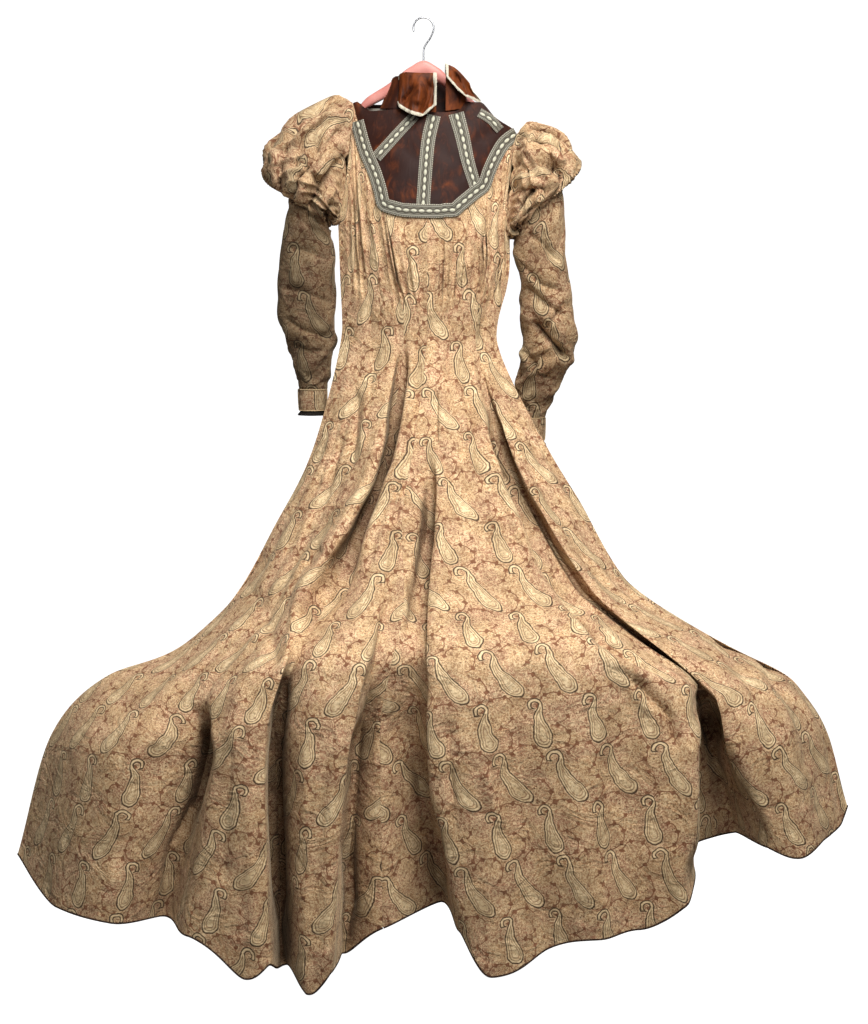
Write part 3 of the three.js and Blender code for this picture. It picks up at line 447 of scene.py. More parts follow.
# Creases from the waist to the ledge, over the ledge, below it and up the bodice.
FRONT_CREASES = (
    Crease(((-35, -590), (-43, -685), (-56, -780), (-73, -846), (-99, -918), (-125, -982), (-145, -1047),
            (-190, -1125)), -17, 8),
    Crease(((-22, -660), (-36, -770), (-54, -845), (-80, -915), (-104, -980), (-122, -1045)), 8, 9),
    Crease(((-72, -740), (-87, -816), (-116, -889), (-150, -949), (-196, -1014), (-226, -1072),
            (-243, -1120)), 9, 17),
    Crease(((-180, -985), (-200, -1012), (-222, -1020)), -8, 10),
    Crease(((-128, -700), (-133, -781), (-138, -860)), -8, 8),
    Crease(((-106, -690), (-112, -760), (-118, -830)), 5, 8),
    Crease(((-159, -780), (-176, -873), (-205, -965)), -7, 10),
    Crease(((-8, -605), (-13, -694), (-24, -790)), -7, 7),
    Crease(((-90, -620), (-102, -690), (-110, -770)), -5, 7),
    Crease(((-340, -1070), (-277, -1119), (-256, -1175)), -8, 16),
    Crease(((-300, -1010), (-352, -1070), (-410, -1110)), -6, 14),
    Crease(((-385, -1225), (-386, -1344), (-408, -1430), (-456, -1519), (-480, -1630)), -13, 8),
    Crease(((-236, -1165), (-262, -1330), (-262, -1424), (-256, -1660)), -15, 7),
    Crease(((-282, -1200), (-302, -1330), (-300, -1424), (-288, -1720)), 9, 14),
    Crease(((-110, -1255), (-124, -1373), (-134, -1473), (-133, -1614), (-146, -1700)), -14, 7),
    Crease(((-140, -1230), (-156, -1373), (-164, -1473), (-162, -1614), (-176, -1740)), 8, 11),
    Crease(((-178, -1250), (-200, -1400), (-214, -1560)), -7, 16),
    Crease(((-330, -1280), (-344, -1420), (-352, -1560)), -8, 18),
    Crease(((-470, -1290), (-505, -1420), (-552, -1560)), -12, 16),
    Crease(((-139, -324), (-127, -419), (-105, -533), (-101, -640)), -4, 9),
    Crease(((-108, -375), (-92, -476), (-79, -560)), -4, 7),
    Crease(((-80, -370), (-69, -461), (-54, -531), (-45, -640)), -4, 9),
    Crease(((-35, -370), (-29, -439), (-26, -530)), -3, 7),
    Crease(((-58, -380), (-50, -440), (-40, -520)), 3, 6),
    Crease(((125, -735), (147, -814), (168, -879), (197, -939), (222, -1010), (263, -1067), (317, -1121),
            (384, -1154), (475, -1203)), -29, 8),
    Crease(((112, -780), (146, -880), (174, -945), (199, -1014), (240, -1078), (298, -1136),
            (368, -1172), (440, -1206)), 9, 9),
    Crease(((490, -1215), (521, -1271), (535, -1318), (562, -1377), (592, -1441), (628, -1525)), -31, 9),
    Crease(((494, -1235), (471, -1310), (470, -1400), (477, -1480), (484, -1620)), 9, 9),
    Crease(((363, -1180), (404, -1225), (433, -1253), (438, -1310)), -14, 7),
    Crease(((338, -1178), (376, -1220), (404, -1252)), 6, 9),
    Crease(((14, -820), (8, -934), (1, -1006), (-3, -1071), (-2, -1128), (-6, -1215), (-6, -1312),
            (-2, -1395), (18, -1454), (40, -1640)), -24, 8),
    Crease(((32, -900), (28, -1006), (24, -1110)), 6, 10),
    Crease(((24, -690), (22, -776), (37, -824), (60, -905)), -9, 8),
    Crease(((75, -680), (98, -757), (105, -805), (100, -900)), -10, 9),
    Crease(((56, -660), (62, -740), (72, -820)), 5, 10),
    Crease(((43, -605), (49, -694), (59, -775)), -7, 7),
    Crease(((108, -1330), (120, -1386), (142, -1445)), 7, 7),
    Crease(((46, -1240), (49, -1355), (54, -1470)), -9, 7),
    Crease(((236, -1214), (234, -1357), (251, -1520)), -7, 20),
    Crease(((342, -1220), (330, -1363), (339, -1560)), -8, 18),
    Crease(((560, -1150), (600, -1230), (640, -1330)), -8, 18),
    Crease(((640, -1200), (690, -1290), (716, -1400)), -10, 16),
    Crease(((145, -385), (102, -462), (58, -525), (41, -615)), -4, 9),
    Crease(((31, -370), (37, -461), (34, -550)), -4, 7),
    Crease(((102, -350), (82, -439), (64, -520)), -4, 8),
    Crease(((156, -440), (131, -532), (99, -640)), -4, 8),
    Crease(((66, -372), (60, -440), (52, -500)), -4, 5),
)
LEFT_SLEEVE_CREASES = (
    Crease(((-167, -173), (-221, -232), (-255, -302)), -12, 9),
    Crease(((-143, -202), (-191, -254), (-225, -320)), -13, 9),
    Crease(((-226, -191), (-262, -228), (-278, -268)), -8, 9),
    Crease(((-144, -254), (-169, -294), (-188, -339)), -11, 8),
    Crease(((-183, -195), (-198, -221), (-202, -254)), -6, 7),
    Crease(((-232, -272), (-210, -294), (-192, -327)), -8, 7),
    Crease(((-253, -365), (-223, -392), (-177, -426)), -6, 8),
    Crease(((-266, -430), (-227, -441), (-175, -460)), -5, 8),
    Crease(((-279, -510), (-230, -518), (-176, -541)), -6, 8),
    Crease(((-276, -568), (-229, -595), (-177, -607)), -6, 7),
    Crease(((-265, -620), (-222, -634), (-177, -630)), -5, 6),
    Crease(((-216, -438), (-209, -514), (-217, -591)), 5, 12),
)
RIGHT_SLEEVE_CREASES = (
    Crease(((202, -217), (235, -254), (254, -305)), -12, 9),
    Crease(((167, -272), (201, -294), (239, -316)), -9, 8),
    Crease(((249, -221), (272, -254), (269, -294)), -8, 8),
    Crease(((154, -318), (198, -331), (230, -346)), -8, 7),
    Crease(((208, -570), (235, -600), (264, -629), (288, -652)), -18, 7),
    Crease(((198, -533), (237, -568), (276, -606)), 7, 8),
    Crease(((182, -461), (228, -505), (275, -518)), -8, 7),
    Crease(((193, -404), (233, -430), (266, -465)), -7, 7),
    Crease(((186, -505), (240, -543), (283, -568)), -9, 7),
    Crease(((193, -629), (226, -672), (257, -695)), -8, 7),
    Crease(((177, -610), (181, -652), (187, -697)), -12, 5),
    Crease(((235, -591), (256, -568), (275, -533)), -6, 6),
    Crease(((223, -391), (247, -461), (255, -514)), -5, 7),
)
LEFT_COLLAR_CREASES = (
    Crease(((-6, -100), (12, -135), (9, -154), (-8, -196)), -14, 4),
    Crease(((-10, -102), (-23, -143), (-42, -166)), -11, 4),
    Crease(((-6, -110), (-6, -140), (-12, -172)), 8, 9),
    Crease(((20, -104), (19, -135), (14, -176)), -8, 4),
)
RIGHT_COLLAR_CREASES = (
    Crease(((52, -90), (66, -118), (84, -156)), -9, 4),
    Crease(((66, -100), (80, -124), (98, -154)), -7, 4),
)


@dataclass(frozen=True)
class FlatCut:
    """A panel laid flat: a net of springs with the cloth's own lengths, relaxed in the plane."""

    rounds: int = 900
    pull: float = 0.11

    def relax(self, points: Array) -> Array:
        """Flat places of a grid of cloth points.

        Each round moves the two ends of every thread, across, down and on both diagonals, so that
        its flat length comes nearer to its length in the cloth.

        Args:
            points: Grid of points in millimetres.

        Returns:
            Grid of flat places: across from the middle column, and down.
        """
        across = arc_lengths(points, 1)
        middle = points.shape[1] // 2
        flat = np.stack([across - across[:, [middle]],
                         np.broadcast_to(arc_lengths(points, 0).mean(axis=1)[:, None],
                                         across.shape)], axis=-1)
        spans = ((slice(None), slice(1, None), slice(None), slice(None, -1)),
                 (slice(1, None), slice(None), slice(None, -1), slice(None)),
                 (slice(1, None), slice(1, None), slice(None, -1), slice(None, -1)),
                 (slice(1, None), slice(None, -1), slice(None, -1), slice(1, None)))
        rests = [np.linalg.norm(points[a, b] - points[c, d], axis=-1) for a, b, c, d in spans]
        for _ in range(self.rounds):
            move = np.zeros_like(flat)
            for (a, b, c, d), rest in zip(spans, rests):
                thread = flat[a, b] - flat[c, d]
                length = np.linalg.norm(thread, axis=-1)
                change = (self.pull * (rest - length) / np.maximum(length, 1e-9))[..., None] * thread
                move[a, b] += change
                move[c, d] -= change
            flat += move
        down = flat[-1, middle] - flat[0, middle]
        down /= np.linalg.norm(down)
        turned = np.stack([flat[..., 0] * down[1] - flat[..., 1] * down[0],
                           flat[..., 0] * down[0] + flat[..., 1] * down[1]], axis=-1)
        return turned - turned[0, middle]


def flat_area(flat: Array) -> float:
    """Area of a grid of flat places, from the crossed diagonals of its cells."""
    first = flat[1:, 1:] - flat[:-1, :-1]
    second = flat[1:, :-1] - flat[:-1, 1:]
    return float(np.abs(first[..., 0] * second[..., 1] - first[..., 1] * second[..., 0]).sum() / 2)


UvPair = Tuple[Array, Array]


def uv_pair(across: Array, down: Array) -> UvPair:
    """Pattern places at the left and the right side of every column of cells, in metres."""
    uv = np.stack(np.broadcast_arrays(across, down), axis=-1) * MM
    return uv[:, :-1], uv[:, 1:]


def as_seen(points: Array) -> Array:
    """Pattern places in metres that are x and z themselves."""
    return points[..., [0, 2]] * MM


def ring_faces(rows: int, columns: int) -> Array:
    """Faces between the rows of a grid whose columns close on themselves."""
    index = np.arange(rows * columns).reshape(rows, columns)
    right = np.roll(index, -1, axis=1)
    return np.stack([index[:-1], index[1:], right[1:], right[:-1]], -1).reshape(-1, 4)


def grid_rim(grid: Array) -> Array:
    """Once round the outer places of a grid, from the last row's first one and back to it."""
    return np.concatenate([grid[::-1, 0], grid[0, 1:], grid[1:, -1], grid[-1, -2:0:-1], grid[-1:, 0]])


def in_scene(name: str, data: bpy.types.ID) -> bpy.types.Object:
    """A new object in the scene's collection."""
    made = bpy.data.objects.new(name, data)
    bpy.context.scene.collection.objects.link(made)
    return made


def make_mesh(name: str, vertices: Array, faces: Array, corner_uv: Array, sharp: float = 50.0
              ) -> bpy.types.Object:
    """Mesh object from arrays, turned so that its faces point outward.

    Args:
        name: Name of the piece.
        vertices: Points in millimetres.
        faces: Four vertex numbers a face.
        corner_uv: Pattern place of each face corner, in metres.
        sharp: Angle in degrees above which an edge is shaded sharp.

    Returns:
        The new object, at the origin.
    """
    p = vertices[faces]
    volume = np.einsum("ij,ij->i", p[:, 0], np.cross(p[:, 1], p[:, 2])).sum()
    volume += np.einsum("ij,ij->i", p[:, 0], np.cross(p[:, 2], p[:, 3])).sum()
    if volume < 0:
        faces, corner_uv = faces[:, ::-1], corner_uv[:, ::-1]
    mesh = bpy.data.meshes.new(name)
    mesh.vertices.add(len(vertices))
    mesh.vertices.foreach_set("co", (vertices * MM).astype(np.float32).ravel())
    mesh.loops.add(faces.size)
    mesh.loops.foreach_set("vertex_index", np.ascontiguousarray(faces, dtype=np.int32).ravel())
    mesh.polygons.add(len(faces))
    mesh.polygons.foreach_set("loop_start", np.arange(0, faces.size, 4, dtype=np.int32))
    mesh.update(calc_edges=True)
    layer = mesh.uv_layers.new(name=CUT)
    layer.data.foreach_set("uv", np.ascontiguousarray(corner_uv, dtype=np.float32).ravel())
    mesh.validate()
    mesh.shade_smooth()
    mesh.set_sharp_from_angle(angle=math.radians(sharp))
    return in_scene(name, mesh)


def cloth_wall(name: str, outer: Array, thickness: float, uv: UvPair, tube: bool = False,
               normals: Optional[Array] = None) -> bpy.types.Object:
    """A closed wall: the outer grid, the same grid moved in by the thickness, and its edges.

    Args:
        name: Name of the piece.
        outer: Grid of outer points in millimetres.
        thickness: Thickness of the wall.
        uv: Pattern places at the left and right side of every column of cells, in metres.
        tube: Whether the columns close on themselves.
        normals: Outward directions, or None for the grid's own.

    Returns:
        The new object.
    """
    normals = grid_normals(outer, tube) if normals is None else normals
    inner = outer - thickness * normals
    rows, count = outer.shape[:2]
    spans = count if tube else count - 1
    index = np.arange(rows * count).reshape(rows, count)
    left, right = index[:, :spans], np.roll(index, -1, axis=1)[:, :spans]
    total = rows * count
    uv_left, uv_right = uv
    corners = [left[:-1], left[1:], right[1:], right[:-1]]
    places = [uv_left[:-1], uv_left[1:], uv_right[1:], uv_right[:-1]]
    faces = [np.stack(corners, -1).reshape(-1, 4), np.stack(corners[::-1], -1).reshape(-1, 4) + total]
    uvs = [np.stack(places, -2).reshape(-1, 4, 2), np.stack(places[::-1], -2).reshape(-1, 4, 2)]
    for j, (first, second, uv_first, uv_second) in ((0, (left, right, uv_left, uv_right)),
                                                    (-1, (right, left, uv_right, uv_left))):
        faces.append(np.stack([first[j], second[j], second[j] + total, first[j] + total], -1))
        uvs.append(np.stack([uv_first[j], uv_second[j], uv_second[j], uv_first[j]], -2))
    if not tube:
        for i, (up, low), edge_uv in ((0, (slice(1, None), slice(None, -1)), uv_left[:, 0]),
                                      (-1, (slice(None, -1), slice(1, None)), uv_right[:, -1])):
            edge = index[:, i]
            faces.append(np.stack([edge[up], edge[low], edge[low] + total, edge[up] + total], -1))
            uvs.append(np.stack([edge_uv[up], edge_uv[low], edge_uv[low], edge_uv[up]], -2))
    vertices = np.concatenate([outer.reshape(-1, 3), inner.reshape(-1, 3)])
    return make_mesh(name, vertices, np.concatenate(faces), np.concatenate(uvs))


def tube_along(name: str, path: Array, radius: Union[float, Array], reference: Array,
               sides: int = 12) -> bpy.types.Object:
    """A round cord: circles of the radius carried along the path, closed at both ends.

    Args:
        name: Name of the piece.
        path: Points in millimetres.
        radius: One radius, or one for each point.
        reference: A direction the path never runs along.
        sides: Faces round the cord.

    Returns:
        The new object.
    """
    ahead = unit(np.gradient(path, axis=0))
    sideways = unit(np.cross(reference, ahead))
    upward = np.cross(ahead, sideways)
    turns = round_turns(sides)
    size = np.broadcast_to(np.asarray(radius, dtype=float), len(path))[:, None, None]
    cosine, sine = np.cos(turns)[None, :, None], np.sin(turns)[None, :, None]
    points = path[:, None] + size * (cosine * sideways[:, None] + sine * upward[:, None])
    points = np.concatenate([np.repeat(path[:1, None], sides, 1), points,
                             np.repeat(path[-1:, None], sides, 1)])
    run = arc_lengths(path[:, None], 0)[:, 0]
    run = np.concatenate([run[:1], run, run[-1:]]) * MM
    around = np.linspace(0, 2 * math.pi * float(np.mean(size)) * MM, sides + 1)
    uv = np.stack(np.broadcast_arrays(around[None, :], run[:, None]), axis=-1)
    uvs = np.stack([uv[:-1, :-1], uv[1:, :-1], uv[1:, 1:], uv[:-1, 1:]], -2).reshape(-1, 4, 2)
    return make_mesh(name, points.reshape(-1, 3), ring_faces(*points.shape[:2]), uvs, 70.0)


def inset_line(line: Array, inset: Union[float, Array]) -> Array:
    """A line in the upright plane, moved towards the neck by an amount square to its run."""
    run = unit(np.gradient(line, axis=0))
    return line + np.stack([-run[:, 1], run[:, 0]], axis=-1) * np.asarray(inset)[..., None]


def srgb(red: int, green: int, blue: int) -> Colour:
    """Linear colour from the eight-bit values that a screen shows."""
    def linear(value: int) -> float:
        """One channel as linear light."""
        share = value / 255
        return share / 12.92 if share <= 0.04045 else ((share + 0.055) / 1.055) ** 2.4
    return linear(red), linear(green), linear(blue), 1.0


class Graph:
    """Adds nodes to one node tree and links them."""

    def __init__(self, tree: bpy.types.NodeTree) -> None:
        """Keeps the tree that the nodes go into."""
        self.tree = tree

    def node(self, kind: str, **settings: object) -> bpy.types.Node:
        """A new node with its settings."""
        made = self.tree.nodes.new(kind)
        for name, value in settings.items():
            setattr(made, name, value)
        return made

    def feed(self, socket: Socket, value: Union[Value, Colour]) -> None:
        """Links a socket to the input, or sets the input's own value."""
        if isinstance(value, bpy.types.NodeSocket):
            self.tree.links.new(value, socket)
        else:
            socket.default_value = value

    def cut_place(self) -> Socket:
        """Pattern place on the flat cloth, in metres."""
        return self.node("ShaderNodeUVMap", uv_map=CUT).outputs[0]

    def object_place(self) -> Socket:
        """Place in the shared frame, in metres."""
        return self.node("ShaderNodeTexCoord").outputs["Object"]

    def math(self, operation: str, *values: Value) -> Socket:
        """Result of a Math node."""
        made = self.node("ShaderNodeMath", operation=operation)
        for socket, value in zip(made.inputs, values):
            self.feed(socket, value)
        return made.outputs[0]

    def total(self, *values: Value) -> Socket:
        """Sum of the values."""
        return reduce(partial(self.math, "ADD"), values)

    def times(self, *values: Value) -> Socket:
        """Product of the values."""
        return reduce(partial(self.math, "MULTIPLY"), values)

    def highest(self, *values: Value) -> Socket:
        """Highest of the values."""
        return reduce(partial(self.math, "MAXIMUM"), values)

    def less(self, value: Value, taken: Value) -> Socket:
        """Difference of two values."""
        return self.math("SUBTRACT", value, taken)

    def reach(self, x: Value, y: Value) -> Socket:
        """Distance from the origin."""
        return self.math("SQRT", self.total(self.times(x, x), self.times(y, y)))

    def eased(self, value: Value, low: float, high: float) -> Socket:
        """Smooth share from 0 at low to 1 at high, either way round."""
        made = self.node("ShaderNodeMapRange", interpolation_type="SMOOTHSTEP")
        self.feed(made.inputs["Value"], value)
        swap = low > high
        made.inputs["From Min"].default_value = high if swap else low
        made.inputs["From Max"].default_value = low if swap else high
        made.inputs["To Min"].default_value = 1.0 if swap else 0.0
        made.inputs["To Max"].default_value = 0.0 if swap else 1.0
        return made.outputs["Result"]

    def line(self, distance: Value, centre: float, half: float) -> Socket:
        """Mask of a drawn line where a distance is near a centre."""
        off = self.math("ABSOLUTE", self.less(distance, centre))
        return self.eased(off, half * 1.35, half * 0.55)

    def mix(self, factor: Value, first: Union[Socket, Colour], second: Union[Socket, Colour],
            blend: str = "MIX") -> Socket:
        """Colour mixed from two."""
        made = self.node("ShaderNodeMix", data_type="RGBA", blend_type=blend)
        self.feed(made.inputs[0], factor)
        self.feed(made.inputs[6], first)
        self.feed(made.inputs[7], second)
        return made.outputs[2]

    def over(self, colour: Union[Socket, Colour], laid: Union[Socket, Colour], *masks: Value) -> Socket:
        """A colour with another laid over it, as far as every mask lets it through."""
        return self.mix(self.times(*masks), colour, laid)

    def vector(self, operation: str, *values: Union[Socket, Tuple[float, float, float]]) -> Socket:
        """Result of a Vector Math node."""
        made = self.node("ShaderNodeVectorMath", operation=operation)
        for socket, value in zip(made.inputs, values):
            self.feed(socket, value)
        return made.outputs[0]

    def bump(self, height: Value, strength: float, distance: float, normal: Optional[Socket] = None,
             invert: bool = False) -> Socket:
        """Normal bent by a height."""
        made = self.node("ShaderNodeBump", invert=invert)
        made.inputs["Strength"].default_value = strength
        made.inputs["Distance"].default_value = distance
        self.feed(made.inputs["Height"], height)
        if normal is not None:
            self.feed(made.inputs["Normal"], normal)
        return made.outputs[0]

    def split(self, vector: Socket) -> Tuple[Socket, Socket, Socket]:
        """The three numbers of a vector."""
        made = self.node("ShaderNodeSeparateXYZ")
        self.feed(made.inputs[0], vector)
        return made.outputs[0], made.outputs[1], made.outputs[2]

    def noise(self, vector: Socket, scale: float, detail: float = 2.0, rough: float = 0.5,
              warp: float = 0.0) -> Socket:
        """Noise between 0 and 1."""
        made = self.node("ShaderNodeTexNoise", noise_dimensions="3D")
        self.feed(made.inputs["Vector"], vector)
        made.inputs["Scale"].default_value = scale
        made.inputs["Detail"].default_value = detail
        made.inputs["Roughness"].default_value = rough
        made.inputs["Distortion"].default_value = warp
        return made.outputs["Fac"]

    def cells(self, vector: Socket, scale: float, spread: float = 1.0) -> Socket:
        """Distance to the nearest of scattered points."""
        made = self.node("ShaderNodeTexVoronoi", feature="F1")
        self.feed(made.inputs["Vector"], vector)
        made.inputs["Scale"].default_value = scale
        made.inputs["Randomness"].default_value = spread
        return made.outputs["Distance"]


def new_group(name: str, inputs: Sequence[Tuple[str, str]], outputs: Sequence[Tuple[str, str]]
              ) -> Tuple[bpy.types.NodeTree, Graph, bpy.types.Node, bpy.types.Node]:
    """An empty shader node group with named sockets.

    Args:
        name: Name of the group.
        inputs: Name and kind of each input.
        outputs: Name and kind of each output.

    Returns:
        The group, its graph, and its input and output nodes.
    """
    tree = bpy.data.node_groups.new(name, "ShaderNodeTree")
    for title, kind in inputs:
        tree.interface.new_socket(title, in_out="INPUT", socket_type=kind)
    for title, kind in outputs:
        tree.interface.new_socket(title, in_out="OUTPUT", socket_type=kind)
    graph = Graph(tree)
    return tree, graph, graph.node("NodeGroupInput"), graph.node("NodeGroupOutput")


@dataclass(frozen=True)
class Teardrop:
    """The drop of the print: a rounded cone whose tip leans over and curls, in millimetres."""

    centre: Tuple[float, float]
    length: float
    bottom: float
    tip: float
    lean: float
    curl: float
    hook: float

    def distance(self, graph: Graph, across: Value, down: Value, repeat: Tuple[float, float]
                 ) -> Tuple[Socket, Socket, Socket]:
        """Distance to the drop's edge, negative inside.

        Args:
            graph: Where the nodes go.
            across: Place across the cloth.
            down: Place down the cloth.
            repeat: Size of the repeat across and down.

        Returns:
            The distance, and the place across and up from the drop's round end. The tip runs on
            as a hook, half a circle that bends towards the centre front.
        """
        x = self.wrapped(graph, across, self.centre[0], repeat[0])
        y = graph.times(self.wrapped(graph, down, self.centre[1], repeat[1]), -1.0)
        rise = self.length - self.bottom - self.tip
        y0 = graph.total(y, rise / 2)
        share = graph.math("DIVIDE", y0, rise)
        leant = graph.times(y0, self.lean)
        curl = graph.times(graph.eased(share, 0.62, 1.08), self.curl)
        bow = graph.times(graph.math("SINE", graph.times(graph.eased(share, 0.0, 1.0), math.pi)),
                          -0.25 * self.curl)
        x0 = graph.less(x, graph.total(leant, curl, bow))
        ax = graph.math("ABSOLUTE", x0)
        low = graph.times(graph.math("MINIMUM", y0, 0.0), 0.8)
        high = graph.math("MAXIMUM", y0, 0.0)
        yy = graph.total(low, high)
        b = (self.bottom - self.tip) / rise
        a = math.sqrt(1 - b * b)
        key = graph.total(graph.times(ax, -b), graph.times(yy, a))
        round_end = graph.less(graph.reach(ax, yy), self.bottom)
        tip_end = graph.less(graph.reach(ax, graph.less(yy, rise)), self.tip)
        flank = graph.less(graph.total(graph.times(ax, a), graph.times(yy, b)), self.bottom)
        is_low = graph.math("LESS_THAN", key, 0.0)
        is_high = graph.math("GREATER_THAN", key, a * rise)
        rest = graph.less(1.0, graph.total(is_low, is_high))
        body = graph.total(graph.times(round_end, is_low), graph.times(tip_end, is_high),
                           graph.times(flank, rest))
        hx = graph.total(x, -self.lean * rise - self.curl + self.hook)
        hy = graph.total(y0, -rise)
        off = graph.math("ABSOLUTE", graph.less(graph.reach(hx, hy), self.hook))
        arc = graph.less(off, self.tip * 0.9)
        hang = graph.times(graph.math("LESS_THAN", hx, 0.0), -6.0)
        curled = graph.highest(arc, graph.total(graph.times(hy, -1.0), hang))
        return graph.math("MINIMUM", body, curled), x, y0

    @staticmethod
    def wrapped(graph: Graph, value: Value, centre: float, repeat: float) -> Socket:
        """Place within the repeat, measured from the centre, from minus half to plus half."""
        shifted = graph.total(value, repeat * 64.5 - centre)
        return graph.less(graph.math("FLOORED_MODULO", shifted, repeat), repeat / 2)


@dataclass(frozen=True)
class Vine:
    """A curved stem with small leaves: part of a circle, in millimetres from a drop's end."""

    centre: Tuple[float, float]
    radius: float
    start: float
    stop: float
    leaves: float

    def mask(self, graph: Graph, x: Socket, y: Socket) -> Socket:
        """Where the stem and its leaves are drawn.

        Args:
            graph: Where the nodes go.
            x: Place across from the drop's end.
            y: Place up from it.

        Returns:
            Mask from 0 to 1.
        """
        dx, dy = graph.less(x, self.centre[0]), graph.less(y, self.centre[1])
        middle = math.radians((self.start + self.stop) / 2)
        half = math.radians(abs(self.stop - self.start) / 2)
        turned_x = graph.total(graph.times(dx, math.cos(middle)), graph.times(dy, math.sin(middle)))
        turned_y = graph.total(graph.times(dy, math.cos(middle)), graph.times(dx, -math.sin(middle)))
        angle = graph.math("ARCTAN2", turned_y, turned_x)
        wave = graph.math("MAXIMUM", graph.math("SINE", graph.times(angle, self.leaves)), 0.0)
        thick = graph.total(graph.times(graph.math("POWER", wave, 4.0), 4.0), 0.9)
        off = graph.math("ABSOLUTE", graph.less(graph.reach(dx, dy), self.radius))
        body = graph.eased(graph.less(off, thick), 0.35, -0.35)
        inside = graph.eased(graph.math("ABSOLUTE", angle), half * 1.04, half * 0.96)
        return graph.times(body, inside)


@dataclass(frozen=True)
class PaisleyPrint:
    """The printed ground of drops, vines, dots and scribbles, sized in millimetres of cloth."""

    repeat: Tuple[float, float] = (92.0, 190.0)
    leaning: Teardrop = Teardrop((30.0, 47.0), 80.0, 16.5, 3.2, -0.5, 9.0, 10.5)
    upright: Teardrop = Teardrop((76.0, 142.0), 74.0, 15.0, 3.0, -0.12, 7.0, 9.5)
    ground: Colour = srgb(208, 168, 126)
    ground_pink: Colour = srgb(196, 150, 120)
    cream: Colour = srgb(240, 214, 172)
    brown: Colour = srgb(104, 70, 45)
    red_brown: Colour = srgb(130, 82, 58)
    outline: Colour = srgb(66, 46, 36)
    sage: Colour = srgb(222, 194, 152)
    pale: Colour = srgb(244, 220, 178)

    def group(self) -> bpy.types.NodeTree:
        """Builds the node group: pattern place in metres to colour and relief."""
        tree, g, entry, leave = new_group(
            "paisley_print", [("Place", "NodeSocketVector")],
            [("Colour", "NodeSocketColor"), ("Relief", "NodeSocketFloat")])
        place = g.vector("MULTIPLY", entry.outputs["Place"], (1 / MM, 1 / MM, 1 / MM))
        wobble = g.node("ShaderNodeTexNoise", noise_dimensions="3D")
        g.feed(wobble.inputs["Vector"], place)
        wobble.inputs["Scale"].default_value = 0.045
        wobble.inputs["Detail"].default_value = 3.0
        centred = g.vector("MULTIPLY_ADD", wobble.outputs["Color"], (9.0, 9.0, 0.0), (-4.5, -4.5, 0.0))
        across, down, _ = g.split(g.vector("ADD", place, centred))
        first, ax, ay = self.leaning.distance(g, across, down, self.repeat)
        second, bx, by = self.upright.distance(g, across, down, self.repeat)
        nearest = g.math("MINIMUM", first, second)
        colour = self.filler(g, place, nearest)
        vines = g.highest(
            Vine((16.0, 60.0), 25.0, 170.0, -80.0, 7.0).mask(g, ax, ay),
            Vine((-26.0, 96.0), 22.0, -100.0, 110.0, 6.0).mask(g, ax, ay),
            Vine((22.0, 50.0), 27.0, 180.0, -70.0, 7.0).mask(g, bx, by),
            Vine((-20.0, 92.0), 24.0, -120.0, 80.0, 6.0).mask(g, bx, by))
        clear = g.eased(nearest, 0.5, 1.6)
        colour = g.over(colour, self.red_brown, vines, clear, 0.9)
        inside = g.eased(nearest, 0.3, -0.5)
        fill = g.mix(g.eased(g.noise(place, 0.16, 3.0), 0.38, 0.62), self.sage, self.pale)
        specks = g.eased(g.noise(place, 0.26, 2.0, 0.7), 0.54, 0.6)
        fill = g.over(fill, self.brown, specks, g.eased(nearest, -5.0, -6.0), 0.5)
        for depth, strength, drawn in ((-2.0, 0.35, self.cream), (-4.2, 0.75, self.brown),
                                       (-8.2, 0.6, self.red_brown)):
            fill = g.over(fill, drawn, g.line(nearest, depth, 0.8), strength)
        edge = g.line(nearest, 0.0, 1.15)
        g.feed(leave.inputs["Colour"], g.over(g.mix(inside, colour, fill), self.outline, edge, 0.95))
        g.feed(leave.inputs["Relief"], g.less(g.times(inside, 0.4), g.highest(edge, g.times(vines, clear))))
        return tree

    def filler(self, g: Graph, place: Socket, nearest: Socket) -> Socket:
        """Ground between the drops: contour lines of noise as cream scribbles, scattered brown
        dots and small leaves, and rows of dots round each drop.

        Args:
            g: Where the nodes go.
            place: Pattern place in millimetres.
            nearest: Distance to the nearest drop.

        Returns:
            Colour.
        """
        patches = g.eased(g.noise(place, 0.018, 2.0), 0.4, 0.62)
        colour = g.mix(patches, self.ground, self.ground_pink)
        swirl = g.noise(place, 0.11, 2.0, 0.6, 0.8)
        waves = g.math("SINE", g.times(swirl, 34.0))
        colour = g.over(colour, self.cream, g.eased(waves, 0.1, 0.7), 0.8)
        colour = g.over(colour, self.brown, g.eased(waves, -0.5, -0.9), 0.4)
        fine = g.eased(g.noise(place, 0.26, 2.0, 0.6), 0.56, 0.6)
        colour = g.over(colour, self.red_brown, fine, 0.35)
        gleam = g.eased(g.noise(place, 0.23, 2.0, 0.6), 0.43, 0.39)
        colour = g.over(colour, self.cream, gleam, 0.6)
        dots = g.cells(place, 0.16, 0.9)
        where = g.eased(g.noise(place, 0.05, 1.0), 0.44, 0.52)
        colour = g.over(colour, self.brown, g.eased(dots, 0.26, 0.18), where, 0.85)
        leaves = g.cells(g.vector("MULTIPLY", place, (1.0, 0.55, 1.0)), 0.085)
        bed = g.eased(g.noise(place, 0.04, 1.0, 0.5, 0.4), 0.57, 0.5)
        colour = g.over(colour, self.red_brown, g.eased(leaves, 0.26, 0.2), bed, 0.6)
        around = g.line(nearest, 5.0, 1.1)
        _, run, _ = g.split(place)
        beads = g.eased(g.math("SINE", g.times(run, 1.25)), -0.1, 0.35)
        colour = g.over(colour, self.brown, around, beads, 0.5)
        return g.over(colour, self.cream, g.line(nearest, 1.6, 0.8), 0.25)


